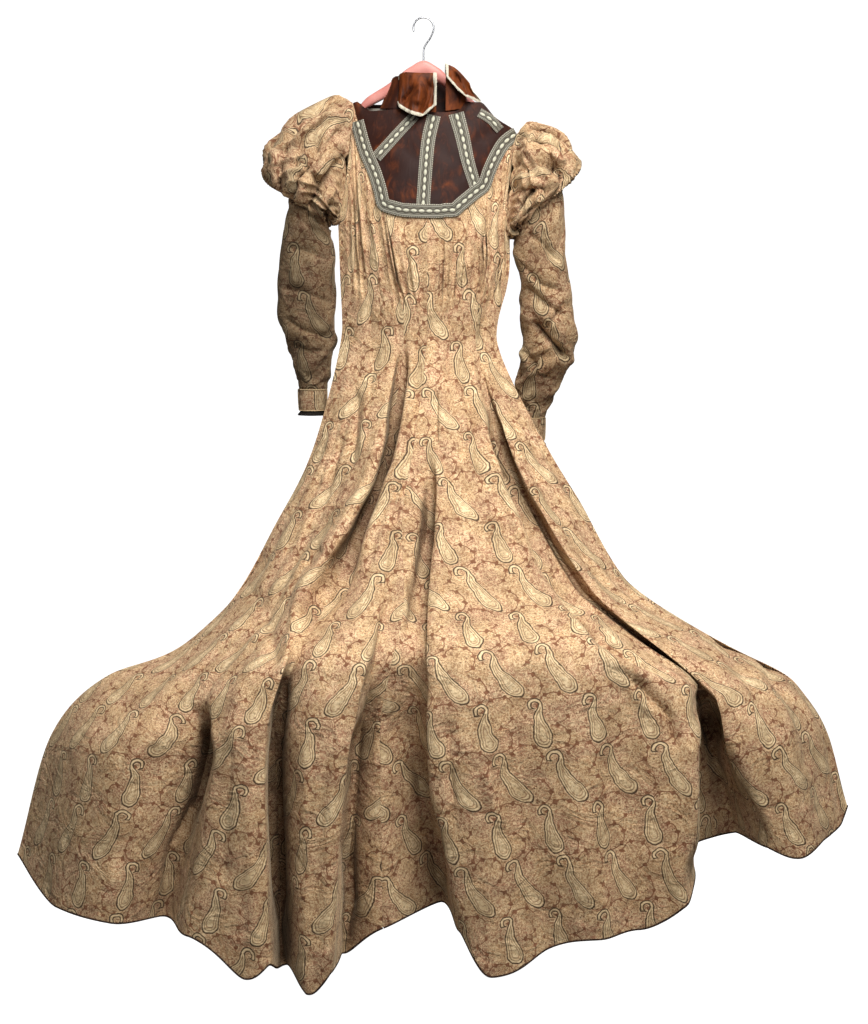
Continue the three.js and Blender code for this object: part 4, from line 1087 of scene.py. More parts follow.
class Finishes:
    """The gown's materials and the node groups they share."""

    def __init__(self) -> None:
        """Builds the shared groups once."""
        self.print_group = PaisleyPrint().group()
        self.pile_group = self.pile()

    @staticmethod
    def pile() -> bpy.types.NodeTree:
        """Nap of a cut pile: brushed light and dark patches, short fibres and crushed streaks."""
        tree, g, entry, leave = new_group(
            "nap", [("Place", "NodeSocketVector"), ("Patch", "NodeSocketFloat")],
            [("Brushed", "NodeSocketFloat"), ("Fibre", "NodeSocketFloat")])
        patch = g.node("ShaderNodeTexNoise")
        g.feed(patch.inputs["Vector"], entry.outputs["Place"])
        g.feed(patch.inputs["Scale"], entry.outputs["Patch"])
        patch.inputs["Detail"].default_value = 4.0
        patch.inputs["Roughness"].default_value = 0.6
        patch.inputs["Distortion"].default_value = 0.5
        fibre = g.noise(entry.outputs["Place"], 1400.0, 3.0, 0.7)
        g.feed(leave.inputs["Brushed"], patch.outputs["Fac"])
        g.feed(leave.inputs["Fibre"], fibre)
        return tree

    @staticmethod
    def blank(name: str, roughness: float) -> Tuple[bpy.types.Material, Graph, bpy.types.Node]:
        """A material with its graph and its Principled shader."""
        material = bpy.data.materials.new(name)
        material.use_nodes = True
        graph = Graph(material.node_tree)
        shader = material.node_tree.nodes["Principled BSDF"]
        shader.inputs["Roughness"].default_value = roughness
        return material, graph, shader

    @staticmethod
    def coat(graph: Graph, shader: bpy.types.Node, colour: Socket, roughness: Value,
             normal: Optional[Socket] = None) -> None:
        """Feeds the shader its colour, roughness and bent normal."""
        graph.feed(shader.inputs["Base Color"], colour)
        graph.feed(shader.inputs["Roughness"], roughness)
        if normal is not None:
            graph.feed(shader.inputs["Normal"], normal)

    @staticmethod
    def sheen(shader: bpy.types.Node, weight: float, roughness: float, tint: Colour) -> None:
        """Sets the soft edge light of cloth on the shader."""
        shader.inputs["Sheen Weight"].default_value = weight
        shader.inputs["Sheen Roughness"].default_value = roughness
        shader.inputs["Sheen Tint"].default_value = tint
        shader.inputs["Specular IOR Level"].default_value = 0.15

    def napped(self, g: Graph, place: Socket, patch: float) -> Tuple[Socket, Socket]:
        """Brushed patches and fibres of the nap at a place; patch is patches a metre."""
        nap = g.node("ShaderNodeGroup", node_tree=self.pile_group)
        g.feed(nap.inputs["Place"], place)
        nap.inputs["Patch"].default_value = patch
        return nap.outputs["Brushed"], nap.outputs["Fibre"]

    def velveteen(self, name: str = "velveteen", tone: float = 1.0, lower: float = 1.0,
                  band: Tuple[float, float] = (-0.33, -0.43)) -> bpy.types.Material:
        """Printed cotton velveteen with a worn, brushed nap, and painted shade deep in its folds.

        Args:
            name: Name of the material.
            tone: How light the cloth is painted against the main panels; on the sleeves this is painted
                shade.
            lower: Painted shade: how light it is below the band, against above it.
            band: Heights between which it changes, in metres.

        Returns:
            The material.
        """
        material, g, shader = self.blank(name, 0.85)
        place = g.cut_place()
        printed = g.node("ShaderNodeGroup", node_tree=self.print_group)
        g.feed(printed.inputs["Place"], place)
        brushed, fibre = self.napped(g, place, 22.0)
        rub = g.mix(g.eased(brushed, 0.3, 0.72), (0.74 * tone, 0.71 * tone, 0.68 * tone, 1),
                    (1.12 * tone, 1.12 * tone, 1.12 * tone, 1))
        colour = g.mix(1.0, printed.outputs["Colour"], rub, "MULTIPLY")
        # Painted shade: the cloth is darker below the band of heights.
        if lower < 1.0:
            _, _, height = g.split(g.object_place())
            colour = g.mix(g.eased(height, *band), colour,
                           g.mix(1.0, colour, (lower, lower * 0.99, lower * 0.97, 1), "MULTIPLY"))
        # Painted shade: the colour is darker deep in folds and recesses, from the cloth's own occlusion.
        deep = g.node("ShaderNodeAmbientOcclusion", samples=4, only_local=True)
        deep.inputs["Distance"].default_value = 0.06
        colour = g.mix(g.eased(deep.outputs["AO"], 0.66, 0.24), colour,
                       g.mix(1.0, colour, srgb(88, 68, 56), "MULTIPLY"))
        worn = g.over(colour, srgb(224, 190, 150), g.eased(fibre, 0.45, 0.75), 0.16)
        self.sheen(shader, 0.25, 0.45, srgb(240, 215, 180))
        ridged = g.math("ABSOLUTE", g.less(g.noise(place, 17.0, 3.0, 0.55, 1.0), 0.5))
        crumpled = g.bump(ridged, 0.8, 0.011, invert=True)
        height = g.total(g.times(fibre, 0.8), g.times(printed.outputs["Relief"], 0.35),
                         g.times(g.noise(place, 160.0, 3.0), 1.2))
        self.coat(g, shader, worn, g.total(g.times(brushed, 0.25), 0.7),
                  g.bump(height, 0.35, 0.0006, crumpled))
        return material

    def velvet(self, name: str = "velvet", rust_shift: float = 0.0) -> bpy.types.Material:
        """Crushed brown silk velvet: dark where the pile faces out, rust where it lies over, with a painted
        sheen of lighter rust where it turns away from view.

        Args:
            name: Name of the material.
            rust_shift: How much more of the velvet is rust than on the yoke, as a share; on the collar this
                is painted highlight.

        Returns:
            The material.
        """
        material, g, shader = self.blank(name, 0.6)
        place = g.object_place()
        brushed, fibre = self.napped(g, place, 26.0)
        streaks = g.noise(g.vector("MULTIPLY", place, (1.0, 1.0, 0.4)), 60.0, 4.0, 0.6, 0.9)
        # Rust follows the crushed pile at random, shifted by rust_shift; on the collar the shift is painted
        # highlight.
        crush_and_highlight = g.eased(g.total(g.times(brushed, 0.4), g.times(streaks, 0.6), rust_shift), 0.46, 0.84)
        # Painted sheen: lighter rust is mixed into the colour where the velvet turns away from view.
        edge = g.node("ShaderNodeLayerWeight")
        edge.inputs["Blend"].default_value = 0.3
        dark = g.mix(crush_and_highlight, srgb(36, 14, 9), srgb(122, 60, 24))
        self.sheen(shader, 0.16, 0.35, srgb(200, 112, 56))
        self.coat(g, shader, g.over(dark, srgb(136, 70, 34), edge.outputs["Facing"], 0.4),
                  g.total(g.times(streaks, 0.3), 0.42),
                  g.bump(g.total(g.times(fibre, 0.3), streaks), 0.5, 0.0015))
        return material

    def braid(self, name: str, base: Colour, thread: Colour, corded: bool = True) -> bpy.types.Material:
        """Woven braid: cords run along it between dark lines, the inner ones wavy round the
        ovals, and its picot edges are speckled.

        Args:
            name: Name of the material.
            base: Colour of the ground.
            thread: Colour of the cords.
            corded: Whether it has cords, or slanting threads only.

        Returns:
            The material.
        """
        material, g, shader = self.blank(name, 0.7)
        place = g.cut_place()
        along, across, _ = g.split(place)
        off = g.math("ABSOLUTE", across)
        slant = g.total(g.times(along, 2600.0), g.times(off, 2200.0))
        threads = g.eased(g.math("SINE", slant), -0.5, 0.7)
        mottled = g.noise(place, 900.0, 3.0, 0.7)
        colour = g.mix(threads, base, thread)
        if corded:
            wave = g.times(g.math("COSINE", g.times(along, 2000 * math.pi / OVAL_PITCH)), 0.0009)
            inner = g.line(g.total(off, wave), 0.0040, 0.0009)
            lines = g.highest(inner, g.line(off, 0.0072, 0.0005), g.line(off, 0.0100, 0.0005))
            colour = g.over(colour, srgb(176, 174, 160), g.line(off, 0.0086, 0.0011), 0.7)
            colour = g.over(colour, srgb(44, 38, 32), lines, 0.85)
            loops = g.eased(g.math("SINE", g.times(along, 1500.0)), 0, 0.5)
            colour = g.over(colour, srgb(214, 208, 190), g.eased(off, 0.0108, 0.0113), loops, 0.8)
        colour = g.over(colour, srgb(58, 50, 40), g.eased(mottled, 0.45, 0.7), 0.4)
        self.sheen(shader, 0.15, 0.4, srgb(220, 210, 190))
        self.coat(g, shader, colour, g.total(g.times(mottled, 0.3), 0.5),
                  g.bump(g.total(threads, g.times(mottled, 0.5)), 0.8, 0.0005))
        return material

    def woven(self, name: str, colour: Colour, worn: Colour, pitch: float, sheen: float = 0.2
              ) -> bpy.types.Material:
        """Plain woven cotton or cord.

        Args:
            name: Name of the material.
            colour: Its colour.
            worn: Colour of the rubbed threads.
            pitch: Threads a metre.
            sheen: Weight of the soft edge light.

        Returns:
            The material.
        """
        material, g, shader = self.blank(name, 0.8)
        place = g.cut_place()
        x, y, _ = g.split(place)
        turn = 2 * math.pi * pitch
        weave = g.times(g.math("SINE", g.times(x, turn)), g.math("SINE", g.times(y, turn)))
        rubbed = g.noise(place, 240.0, 4.0, 0.65)
        self.sheen(shader, sheen, 0.4, worn)
        self.coat(g, shader, g.mix(g.eased(rubbed, 0.45, 0.72), colour, worn),
                  g.total(g.times(rubbed, 0.3), 0.6), g.bump(g.total(weave, rubbed), 0.6, 0.0004))
        return material

    def plastic(self) -> bpy.types.Material:
        """Dusty pink moulded plastic with a fine grain and faint scuffs."""
        material, g, shader = self.blank("hanger_plastic", 0.45)
        place = g.object_place()
        speckle = g.noise(place, 900.0, 2.0, 0.6)
        cloud = g.noise(place, 18.0, 3.0)
        colour = g.mix(g.eased(cloud, 0.35, 0.65), srgb(190, 118, 108), srgb(207, 140, 130))
        colour = g.over(colour, srgb(226, 176, 166), g.eased(speckle, 0.6, 0.72), 0.35)
        scuff = g.noise(place, 60.0, 5.0, 0.7, 1.0)
        self.coat(g, shader, colour, g.total(g.times(scuff, 0.3), 0.32), g.bump(speckle, 0.25, 0.0003))
        return material

    def wire(self) -> bpy.types.Material:
        """Bright drawn steel wire with fine streaks and dull spots."""
        material, g, shader = self.blank("hook_wire", 0.28)
        shader.inputs["Metallic"].default_value = 1.0
        place = g.object_place()
        dull = g.noise(place, 220.0, 4.0, 0.7)
        self.coat(g, shader, g.mix(dull, srgb(196, 198, 202), srgb(158, 160, 165)),
                  g.total(g.times(dull, 0.25), 0.16))
        return material


def dress(piece: bpy.types.Object, material: bpy.types.Material, nodes: Sequence[str]) -> bpy.types.Object:
    """Gives a piece its material, its body and the CAD nodes it stands for.

    Args:
        piece: The piece.
        material: Its finish.
        nodes: CAD nodes that it replaces, or none.

    Returns:
        The piece.
    """
    piece.data.materials.append(material)
    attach(piece, "root")
    if nodes:
        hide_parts(*nodes)
    LOG.info("%s: %d faces", piece.name, len(piece.data.polygons))
    return piece


def front_surface(folds: Array, downs: Array) -> Array:
    """The gown's front with its creases and ripples lifted along the cloth's outward direction.

    Args:
        folds: Places between the fold lines.
        downs: Places between the stations.

    Returns:
        Grid of points, the same at the centre seam for both halves.
    """
    points = front_grid(folds, downs)
    step = NORMAL_STEP
    across = (front_grid(np.minimum(folds + step, LAST_FOLD), downs)
              - front_grid(np.maximum(folds - step, 0), downs))
    along = (front_grid(folds, np.minimum(downs + step, LAST_STATION))
             - front_grid(folds, np.maximum(downs - step, 0)))
    normals = unit(np.cross(along, across))
    lift = sum(crease.lift(points[..., 0], points[..., 2]) for crease in FRONT_CREASES)
    down = downs[:, None]
    skirt = smoothstep(down, WAIST_STATION, WAIST_STATION + 1.5)
    inner = smoothstep(np.minimum(folds, LAST_FOLD - folds), 0.0, 1.0)
    turn = 1.1 * np.sin(1.7 * down + 0.6 * folds)
    ripple = 1.5 * np.sin(5.3 * folds + turn) + 1.2 * np.sin(3.1 * folds - 2.2 * turn)
    rumple = 1.1 * np.sin(9.0 * down + 2.3 * np.sin(1.3 * folds)) * np.sin(2.1 * folds)
    lift = lift + skirt * inner * (ripple + rumple)
    return points + normals * lift[..., None]


@dataclass
class FrontHalf:
    """One half of the front, from its side seam to the centre front seam, cut in two gores."""

    side: Side
    gores: Tuple[float, ...]
    flat: Tuple[float, float]
    area: float
    columns_a_fold: int = 14
    rows: int = 230
    pattern_down: float = 40.0
    pattern_across: Tuple[float, ...] = (0.0, 30.0)

    def folds(self) -> Array:
        """Places across, a fixed number to each fold line."""
        span = self.gores[-1] - self.gores[0]
        return np.linspace(self.gores[0], self.gores[-1], round(span * self.columns_a_fold) + 1)

    def pattern(self, folds: Array, downs: Array, points: Array) -> UvPair:
        """Flat places of each gore, in metres; across grows away from the centre front. Where the
        creases take up more cloth than their neighbourhood, the places spread by as much.

        Args:
            folds: Places across.
            downs: Places down.
            points: The creased cloth.

        Returns:
            Places at the left and right of each column of cells.
        """
        lefts, rights, total = [], [], 0.0
        for shift, start, stop in zip(self.pattern_across, self.gores[:-1], self.gores[1:]):
            across = np.linspace(start, stop, 41)
            downward = np.linspace(0, LAST_STATION, 73)
            flat = FlatCut().relax(front_grid(across, downward))
            total += flat_area(flat)
            chosen = (folds >= start - 1e-6) & (folds <= stop + 1e-6)
            own = folds[chosen]
            place = (own - start) / (stop - start) * (len(across) - 1)
            fine = finer(flat, downs / LAST_STATION * (len(downward) - 1), place)
            inner = -1 if self.side is Side.LEFT else 0
            fine[..., 0] = self.side.value * (fine[..., 0] - fine[0, inner, 0]) + shift
            fine[..., 1] += self.pattern_down - fine[0, inner, 1]
            taken = arc_lengths(points[:, chosen], 1) - arc_lengths(fine, 1)
            fine[..., 0] += self.side.value * (taken - self.drift(taken))
            lefts.append(fine[:, :-1] * MM)
            rights.append(fine[:, 1:] * MM)
        LOG.info("front %s: flat area %.3f square metres", self.side.word, total * MM * MM)
        return np.concatenate(lefts, axis=1), np.concatenate(rights, axis=1)

    def drift(self, taken: Array) -> Array:
        """Running mean across, over six fold lines, with the ends held."""
        reach = self.columns_a_fold * 3
        padded = np.pad(taken, ((0, 0), (reach + 1, reach)), mode="edge")
        total = np.cumsum(padded, axis=1)
        return (total[:, 2 * reach + 1:] - total[:, :-2 * reach - 1]) / (2 * reach + 1)

    def build(self, finishes: Finishes) -> bpy.types.Object:
        """Builds and dresses the panel."""
        folds = self.folds()
        sample = np.linspace(0, LAST_STATION, 200)
        downs = even_downs(front_grid(folds[::14], sample), sample, self.rows)
        points = front_surface(folds, downs)
        centre, outside = (-1, 0) if self.side is Side.LEFT else (0, -1)
        points[:, centre, 0] += self.side.value * SEAM / 1.6
        normals = grid_normals(points)
        normals[:, outside] = (self.side.value, 0, 0)
        piece = cloth_wall(f"front_{self.side.word}_cloth", points, CLOTH,
                           self.pattern(folds, downs, points), normals=normals)
        # Painted shade: the skirt is darker below the ledge, between -1.19 and -1.36 m high.
        dress(piece, finishes.velveteen("velveteen_skirt", 1.0, 0.84, (-1.19, -1.36)),
              [f"gown_front_{self.side.word}"])
        return piece


@dataclass
class BackPanel:
    """The back of the gown, cut in one, with soft folds."""

    fold_height: float = 26.0
    folds: int = 5
    dip: float = 130.0
    columns: int = 120
    rows: int = 190
    flat: Tuple[float, float] = (1.6, 1.55)
    area: float = 1.3

    def surface(self, across: Array, downs: Array) -> Array:
        """The back with its folds and a few shallower ones between them."""
        points = back_grid(across, downs, self.fold_height, self.folds, self.dip)
        deep = np.clip((downs - WAIST_STATION) / (LAST_STATION - WAIST_STATION), 0, 1)[:, None]
        quiet = (1 - (2 * across - 1) ** 6)[None]
        bend = 0.35 * np.sin(1.3 * downs)[:, None]
        ripple = np.sin(2 * math.pi * (8.3 * across[None] + bend)) * 4.5
        points[..., 1] += deep * quiet * ripple
        return points

    def build(self, finishes: Finishes) -> bpy.types.Object:
        """Builds and dresses the panel."""
        across = np.linspace(1, 0, self.columns + 1)
        sample = np.linspace(0, LAST_STATION, 200)
        downs = even_downs(self.surface(across[::10], sample), sample, self.rows)
        points = self.surface(across, downs)
        points[:, [0, -1], 1] += SEAM * 1.3
        normals = grid_normals(points)
        normals[:, 0] = (1, 0, 0)
        normals[:, -1] = (-1, 0, 0)
        places = np.linspace(0, len(across) - 1, 61)
        levels = np.linspace(0, LAST_STATION, 61)
        flat = FlatCut().relax(self.surface(smooth(across, places), levels))
        LOG.info("back: flat area %.3f square metres", flat_area(flat) * MM * MM)
        fine = finer(flat, downs / LAST_STATION * (len(levels) - 1),
                     np.linspace(0, len(places) - 1, len(across)))
        piece = cloth_wall("back_cloth", points, CLOTH, uv_pair(fine[..., 0], fine[..., 1]),
                           normals=normals)
        dress(piece, finishes.velveteen(), ["gown_back"])
        return piece


@dataclass
class Sleeve:
    """A sleeve: full and folded over the shoulder, narrow and wrinkled down the arm."""

    side: Side
    table: Array
    creases: Tuple[Crease, ...]
    flat: Tuple[float, float]
    area: float
    columns: int = 180
    rows: int = 260
    puff_end: float = 6.5
    puff_fold: float = 8.0
    big_folds: float = 5.0
    small_folds: float = 8.5
    gathers: int = 30
    gather_height: float = 2.0
    band_gathers: int = 40
    band_height: float = 1.2
    arm_wrinkle: float = 3.2
    tuck: float = 6.0

    def rings(self, places: Array, turns: Array) -> Array:
        """Points of the plain sleeve: ellipses with cosine pleats along its middle line.

        Args:
            places: Places between the rings of the table.
            turns: Angles round the sleeve.

        Returns:
            Grid of points in millimetres.
        """
        x, z, tilt, half, depth, forward, pleat = (
            smooth(self.table[:, k], places)[:, None] for k in range(7))
        turn = -self.side.value * turns[None]
        fold = pleat * np.cos(SLEEVE_PLEATS * turn)
        along = (half + fold) * np.cos(turn)
        deep = (depth + fold) * np.sin(turn)
        tilt = np.radians(tilt)
        return np.stack([x + self.side.value * np.cos(tilt) * along, -forward - deep,
                         z + np.sin(tilt) * along], axis=-1)

    def folds(self, places: Array, turns: Array) -> Array:
        """Lift of the folds: bent waves over the puff, gathers at the armhole and slanting
        wrinkles down the arm.

        Args:
            places: Places between the rings of the table.
            turns: Angles round the sleeve.

        Returns:
            Lift in millimetres.
        """
        p, t = places[:, None], turns[None]
        puff = smoothstep(p, 0.4, 1.4) * (1 - smoothstep(p, self.puff_end - 1.6, self.puff_end))
        bent = self.big_folds * t + 1.3 * np.sin(0.9 * p + 1.0) + 0.8 * np.sin(2 * t + 0.7 * p)
        big = np.abs(np.sin(bent)) ** 0.7 * 2 - 1.7
        turned = self.small_folds * t + 2.2 * np.sin(1.3 * p + t) + 1.4 * p
        small = 0.7 - np.abs(np.sin(turned)) ** 0.6
        gather = smoothstep(p, 0.05, 0.35) * (1 - smoothstep(p, 0.5, 1.7)) * self.gather_height
        gather = gather * np.cos(self.gathers * t + 1.5 * np.sin(3 * t))
        near_band = np.exp(-((p - self.puff_end) / 0.5) ** 2)
        band = np.cos(self.band_gathers * t) * near_band * self.band_height
        arm = smoothstep(p, self.puff_end, self.puff_end + 1.5)
        last = len(self.table) - 1
        loose = 1 - smoothstep(p, last - 0.8, last)
        slant = np.sin(4.94 * p + 2 * t + 1.1 * np.sin(3 * t + p))
        cross = np.sin(3.74 * p - 3 * t + 0.9 * np.sin(2 * t - 1.3 * p))
        wrinkle = np.maximum(slant, -0.2) + 0.7 * np.maximum(cross, -0.1) - 0.5
        return (self.puff_fold * puff * (big + small) + gather + band
                + self.arm_wrinkle * arm * loose * wrinkle)

    def build(self, finishes: Finishes) -> bpy.types.Object:
        """Builds and dresses the sleeve."""
        turns = round_turns(self.columns)
        last = len(self.table) - 1
        sample = np.linspace(0, last, 300)
        places = even_downs(self.rings(sample, turns[::10]), sample, self.rows)
        points = self.rings(places, turns)
        out = grid_normals(points, True) * self.outward(points)
        front = smoothstep(-out[..., 1], 0.0, 0.5)
        lift = self.folds(places, turns) + front * sum(
            crease.lift(points[..., 0], points[..., 2]) for crease in self.creases)
        points = self.tucked(points + out * lift[..., None])
        closed = np.concatenate([points, points[:, :1]], axis=1)
        around = arc_lengths(closed, 1)
        front_column = round((0.75 if self.side is Side.RIGHT else 0.25) * self.columns)
        around -= around[:, [front_column]]
        down = arc_lengths(closed, 0).mean(axis=1)[:, None]
        piece = cloth_wall(f"sleeve_{self.side.word}_cloth", points, CLOTH, uv_pair(around, down),
                           tube=True, normals=grid_normals(points, True) * self.outward(points))
        # Painted shade: the left sleeve is darker than the right, and both are darker down the arm below
        # the puff.
        tone, lower = (0.70, 0.38) if self.side is Side.LEFT else (0.86, 0.72)
        dress(piece, finishes.velveteen(f"velveteen_sleeve_{self.side.word}", tone, lower),
              [f"sleeve_{self.side.word}"])
        return piece

    def tucked(self, points: Array) -> Array:
        """The grid with two smaller rings before it, so the armhole's edge runs in under the body."""
        centre = points[0].mean(axis=0)
        inward = np.array([-self.side.value * self.tuck, 0.0, 0.0])
        rings = [centre + (points[0] - centre) * size + inward * share
                 for size, share in ((0.86, 1.0), (0.93, 0.5))]
        return np.concatenate([np.stack(rings), points])

    @staticmethod
    def outward(points: Array) -> float:
        """Sign that turns the grid's own directions away from its middle line."""
        centre = points.mean(axis=1, keepdims=True)
        return float(np.sign((grid_normals(points, True) * (points - centre)).sum()))


@dataclass
class Cuff:
    """A cuff: patterned halves with a pale piping over a dark inner cuff that flares below."""

    side: Side
    x: float
    forward: float
    top: float
    end: float
    taper: float
    half: float = 28.0
    depth: float = 26.0
    opening: float = 0.16
    flare: float = 6.0
    inside: float = 2.2
    begins: float = 2.0
    shows: float = 9.0

    def arc(self, z: Array, grow: Array, turns: Array) -> Array:
        """Rows of an ellipse that grows by an amount at each height."""
        z, grow, turns = np.asarray(z, float)[:, None], np.asarray(grow, float)[:, None], turns[None]
        rows = np.broadcast_arrays(self.x - (self.half + grow) * np.cos(turns),
                                   -self.forward - (self.depth + grow) * np.sin(turns), z)
        return np.stack(rows, axis=-1)

    def build(self, finishes: Finishes) -> None:
        """Builds and dresses the inner cuff, both halves and their piping."""
        share = np.linspace(0, 1, 26)
        first, last = self.top - self.begins, self.end - self.shows
        z = first + (last - first) * share
        body = np.minimum(1, share * (first - last) / (first - self.end))
        grow = -self.inside - self.taper * body + self.flare * smoothstep(share, 0.8, 1.0)
        turns = round_turns(96)
        ripple = 0.8 * np.sin(7 * turns + 0.6)[None] * smoothstep(share, 0.7, 1.0)[:, None]
        rows = self.arc(z, grow, turns)
        rows[..., 1] += ripple
        around = np.linspace(0, 2 * math.pi * self.half, 97)
        inner = cloth_wall(f"cuff_{self.side.word}_under", rows, CLOTH,
                           uv_pair(around[None], -z[:, None]), tube=True, normals=self.away(rows))
        dress(inner, finishes.woven("under_cuff", srgb(24, 20, 17), srgb(52, 45, 38), 900),
              [f"cuff_{self.side.word}_inner"])
        cloth = finishes.velveteen(f"velveteen_cuff_{self.side.word}", 0.6)
        for name, start in (("front", 0.0), ("back", math.pi)):
            turns = np.linspace(start + self.opening, start + math.pi - self.opening, 61)
            share = np.linspace(0, 1, 22)
            z = self.top + (self.end + 1 - self.top) * share
            crown = 0.9 * np.sin(math.pi * share) ** 0.5
            rows = self.arc(z, -self.taper * share + crown, turns)
            away = self.away(rows)
            piece = cloth_wall(f"cuff_{self.side.word}_{name}_cloth", rows, BRAID,
                               uv_pair(turns[None] * self.half + 12, -z[:, None]), normals=away)
            dress(piece, cloth, [f"cuff_{self.side.word}_{name}"])
            edge = grid_rim(rows) + 0.4 * grid_rim(away)
            piping = tube_along(f"cuff_{self.side.word}_{name}_piping", edge, 1.1,
                                np.array([0.05, 0.3, 0.9]), 8)
            dress(piping, finishes.woven("piping", srgb(196, 168, 128), srgb(226, 204, 168), 1500), [])

    def away(self, rows: Array) -> Array:
        """Level directions away from the middle of the cuff."""
        flat = rows - np.array([self.x, -self.forward, 0.0])
        flat[..., 2] = 0
        return unit(flat)


@dataclass
class Yoke:
    """The velvet yoke, front and back, with its braids."""

    neckline_width: float = 26.0
    rows: int = 26
    flat: Tuple[float, float] = (0.32, 0.20)
    front_area: float = 0.046
    back_area: float = 0.031
    braids: Tuple[Tuple[str, Tuple[float, float], Tuple[Tuple[float, float], ...]], ...] = (
        ("yoke_braid_left", (20.0, 22.0), ((-16, -186), (-40, -211), (-62, -235), (-90, -265))),
        ("yoke_braid_centre", (26.0, 26.0), ((20, -186), (9, -236), (4, -288), (-1, -362))),
        ("yoke_braid_right", (30.0, 23.0), ((62, -182), (74, -226), (84, -272), (101, -326))),
        ("yoke_braid_shoulder", (18.0, 18.0), ((106, -180), (127, -192), (146, -212))),
    )

    @staticmethod
    def front_seam(count: int) -> Array:
        """Points x and z of the seam between the front and its yoke."""
        fold = np.linspace(*SHOULDER_FOLDS, count)
        return np.stack([smooth(FOLDS[:, 0], fold), smooth(FOLDS[:, 1], fold)], axis=-1)

    @staticmethod
    def back_seam(count: int) -> Array:
        """Points x and z of the seam between the back and its yoke."""
        place = np.interp(np.linspace(*BACK_SHOULDERS, count), BACK_TOP[:, 0], np.arange(len(BACK_TOP)))
        return np.stack([smooth(BACK_TOP[:, 1], place), smooth(BACK_TOP[:, 2], place)], axis=-1)

    def velvet(self, name: str, node: str, seam: Array, neck: Array, face: Face,
               finishes: Finishes) -> None:
        """Builds and dresses one half: straight runs from the seam to the neck, on the torso."""
        seam = inset_line(seam, 2.4 * SEAM)
        place = np.linspace(0, len(neck) - 1, len(seam))
        inward = np.linspace(0, 1, self.rows)[:, None, None]
        spots = seam[None] + (smooth(neck, place)[None] - seam[None]) * inward
        share = np.sin(math.pi * np.linspace(0, 1, self.rows))[:, None]
        crush = 0.9 * share * np.sin(spots[..., 0] / 11 + np.sin(spots[..., 1] / 14) * 1.7)
        points = on_torso(spots[..., 0], spots[..., 1], crush, face)
        if face is Face.FRONT:
            points = points[::-1]
        piece = cloth_wall(name, points, VELVET, uv_pair(points[..., 0], points[..., 2]))
        dress(piece, finishes.velvet(), [node])

    def braid(self, name: str, node: str, line: Array, width: Array, lift: float, face: Face,
              finishes: Finishes) -> None:
        """Builds a braid with looped edges and a row of raised ovals down its middle.

        Args:
            name: Name of the piece.
            node: CAD node that it replaces.
            line: Points x and z of its middle.
            width: Width at each point.
            lift: How far it stands off the torso.
            face: Front or back.
            finishes: Where its materials come from.
        """
        run = arc_lengths(line[:, None], 0)[:, 0]
        even = np.linspace(0, run[-1], max(60, int(run[-1] / 0.7)))
        spots = np.stack([np.interp(even, run, line[:, k]) for k in range(2)], axis=-1)
        wide = np.interp(even, run, width)
        loops = 0.7 * np.abs(np.sin(math.pi * even / 4.2)) - 0.7
        edges = np.array([-1.0, -0.9, -0.62, -0.5, -0.25, 0.0, 0.25, 0.5, 0.62, 0.9, 1.0])
        crown = np.array([-0.3, 0.3, 0.2, -0.2, 0.15, 0.3, 0.15, -0.2, 0.2, 0.3, -0.3])
        half = wide[None] / 2 + np.where(np.abs(edges) > 0.95, 1, 0)[:, None] * loops[None]
        offset = edges[:, None] * half
        level = np.broadcast_to(edges[:, None] * self.neckline_width / 2, offset.shape)
        normal = unit(np.gradient(spots, axis=0))
        x = spots[None, :, 0] - normal[None, :, 1] * offset
        z = spots[None, :, 1] + normal[None, :, 0] * offset
        points = on_torso(x, z, lift + crown[:, None], face)
        if face is Face.FRONT:
            points, level = points[::-1], level[::-1]
        piece = cloth_wall(name, points, BRAID, uv_pair(even, level))
        dress(piece, finishes.braid("braid", srgb(100, 97, 86), srgb(142, 138, 124)), [node])
        self.ovals(f"{name}_ovals", spots, even, lift + 0.3, face, finishes)

    @staticmethod
    def ovals(name: str, spots: Array, run: Array, lift: float, face: Face, finishes: Finishes,
              pitch: float = OVAL_PITCH, long: float = 5.4, wide: float = 2.7) -> None:
        """A row of small raised ovals: domes whose height falls with the square of the radius.

        Args:
            name: Name of the piece.
            spots: Points x and z of the middle line.
            run: Length along it at each point.
            lift: Height of the ovals' foot over the torso.
            face: Front or back.
            finishes: Where the material comes from.
            pitch: Distance between ovals.
            long: Half length of an oval.
            wide: Half width of an oval.
        """
        count = int(run[-1] // pitch)
        at = pitch / 2 + pitch * np.arange(count)
        centre = np.stack([np.interp(at, run, spots[:, k]) for k in range(2)], axis=-1)
        ahead = unit(np.stack([np.interp(at + 1, run, spots[:, k]) for k in range(2)], axis=-1)
                     - np.stack([np.interp(at - 1, run, spots[:, k]) for k in range(2)], axis=-1))
        radius = np.array([1.0, 0.85, 0.5, 0.0])
        turns = round_turns(12)
        along = long * radius[:, None] * np.cos(turns)[None]
        aside = wide * radius[:, None] * np.sin(turns)[None]
        height = 1.5 * (1 - radius ** 2)[:, None] + 0 * turns[None]
        x = centre[:, None, None, 0] + ahead[:, None, None, 0] * along - ahead[:, None, None, 1] * aside
        z = centre[:, None, None, 1] + ahead[:, None, None, 1] * along + ahead[:, None, None, 0] * aside
        domes = on_torso(x, z, lift + np.broadcast_to(height[None], x.shape), face)
        foot = on_torso(centre[:, 0], centre[:, 1], lift - 0.2, face)[:, None, None]
        domes = np.concatenate([np.broadcast_to(foot, domes[:, :1].shape), domes], axis=1)
        each = domes.shape[1] * domes.shape[2]
        one = ring_faces(*domes.shape[1:3])
        faces = (one[None] + each * np.arange(count)[:, None, None]).reshape(-1, 4)
        vertices = domes.reshape(-1, 3)
        piece = make_mesh(name, vertices, faces, as_seen(vertices[faces]))
        ivory = finishes.woven("braid_oval", srgb(214, 212, 190), srgb(236, 234, 216), 1300)
        dress(piece, ivory, [])

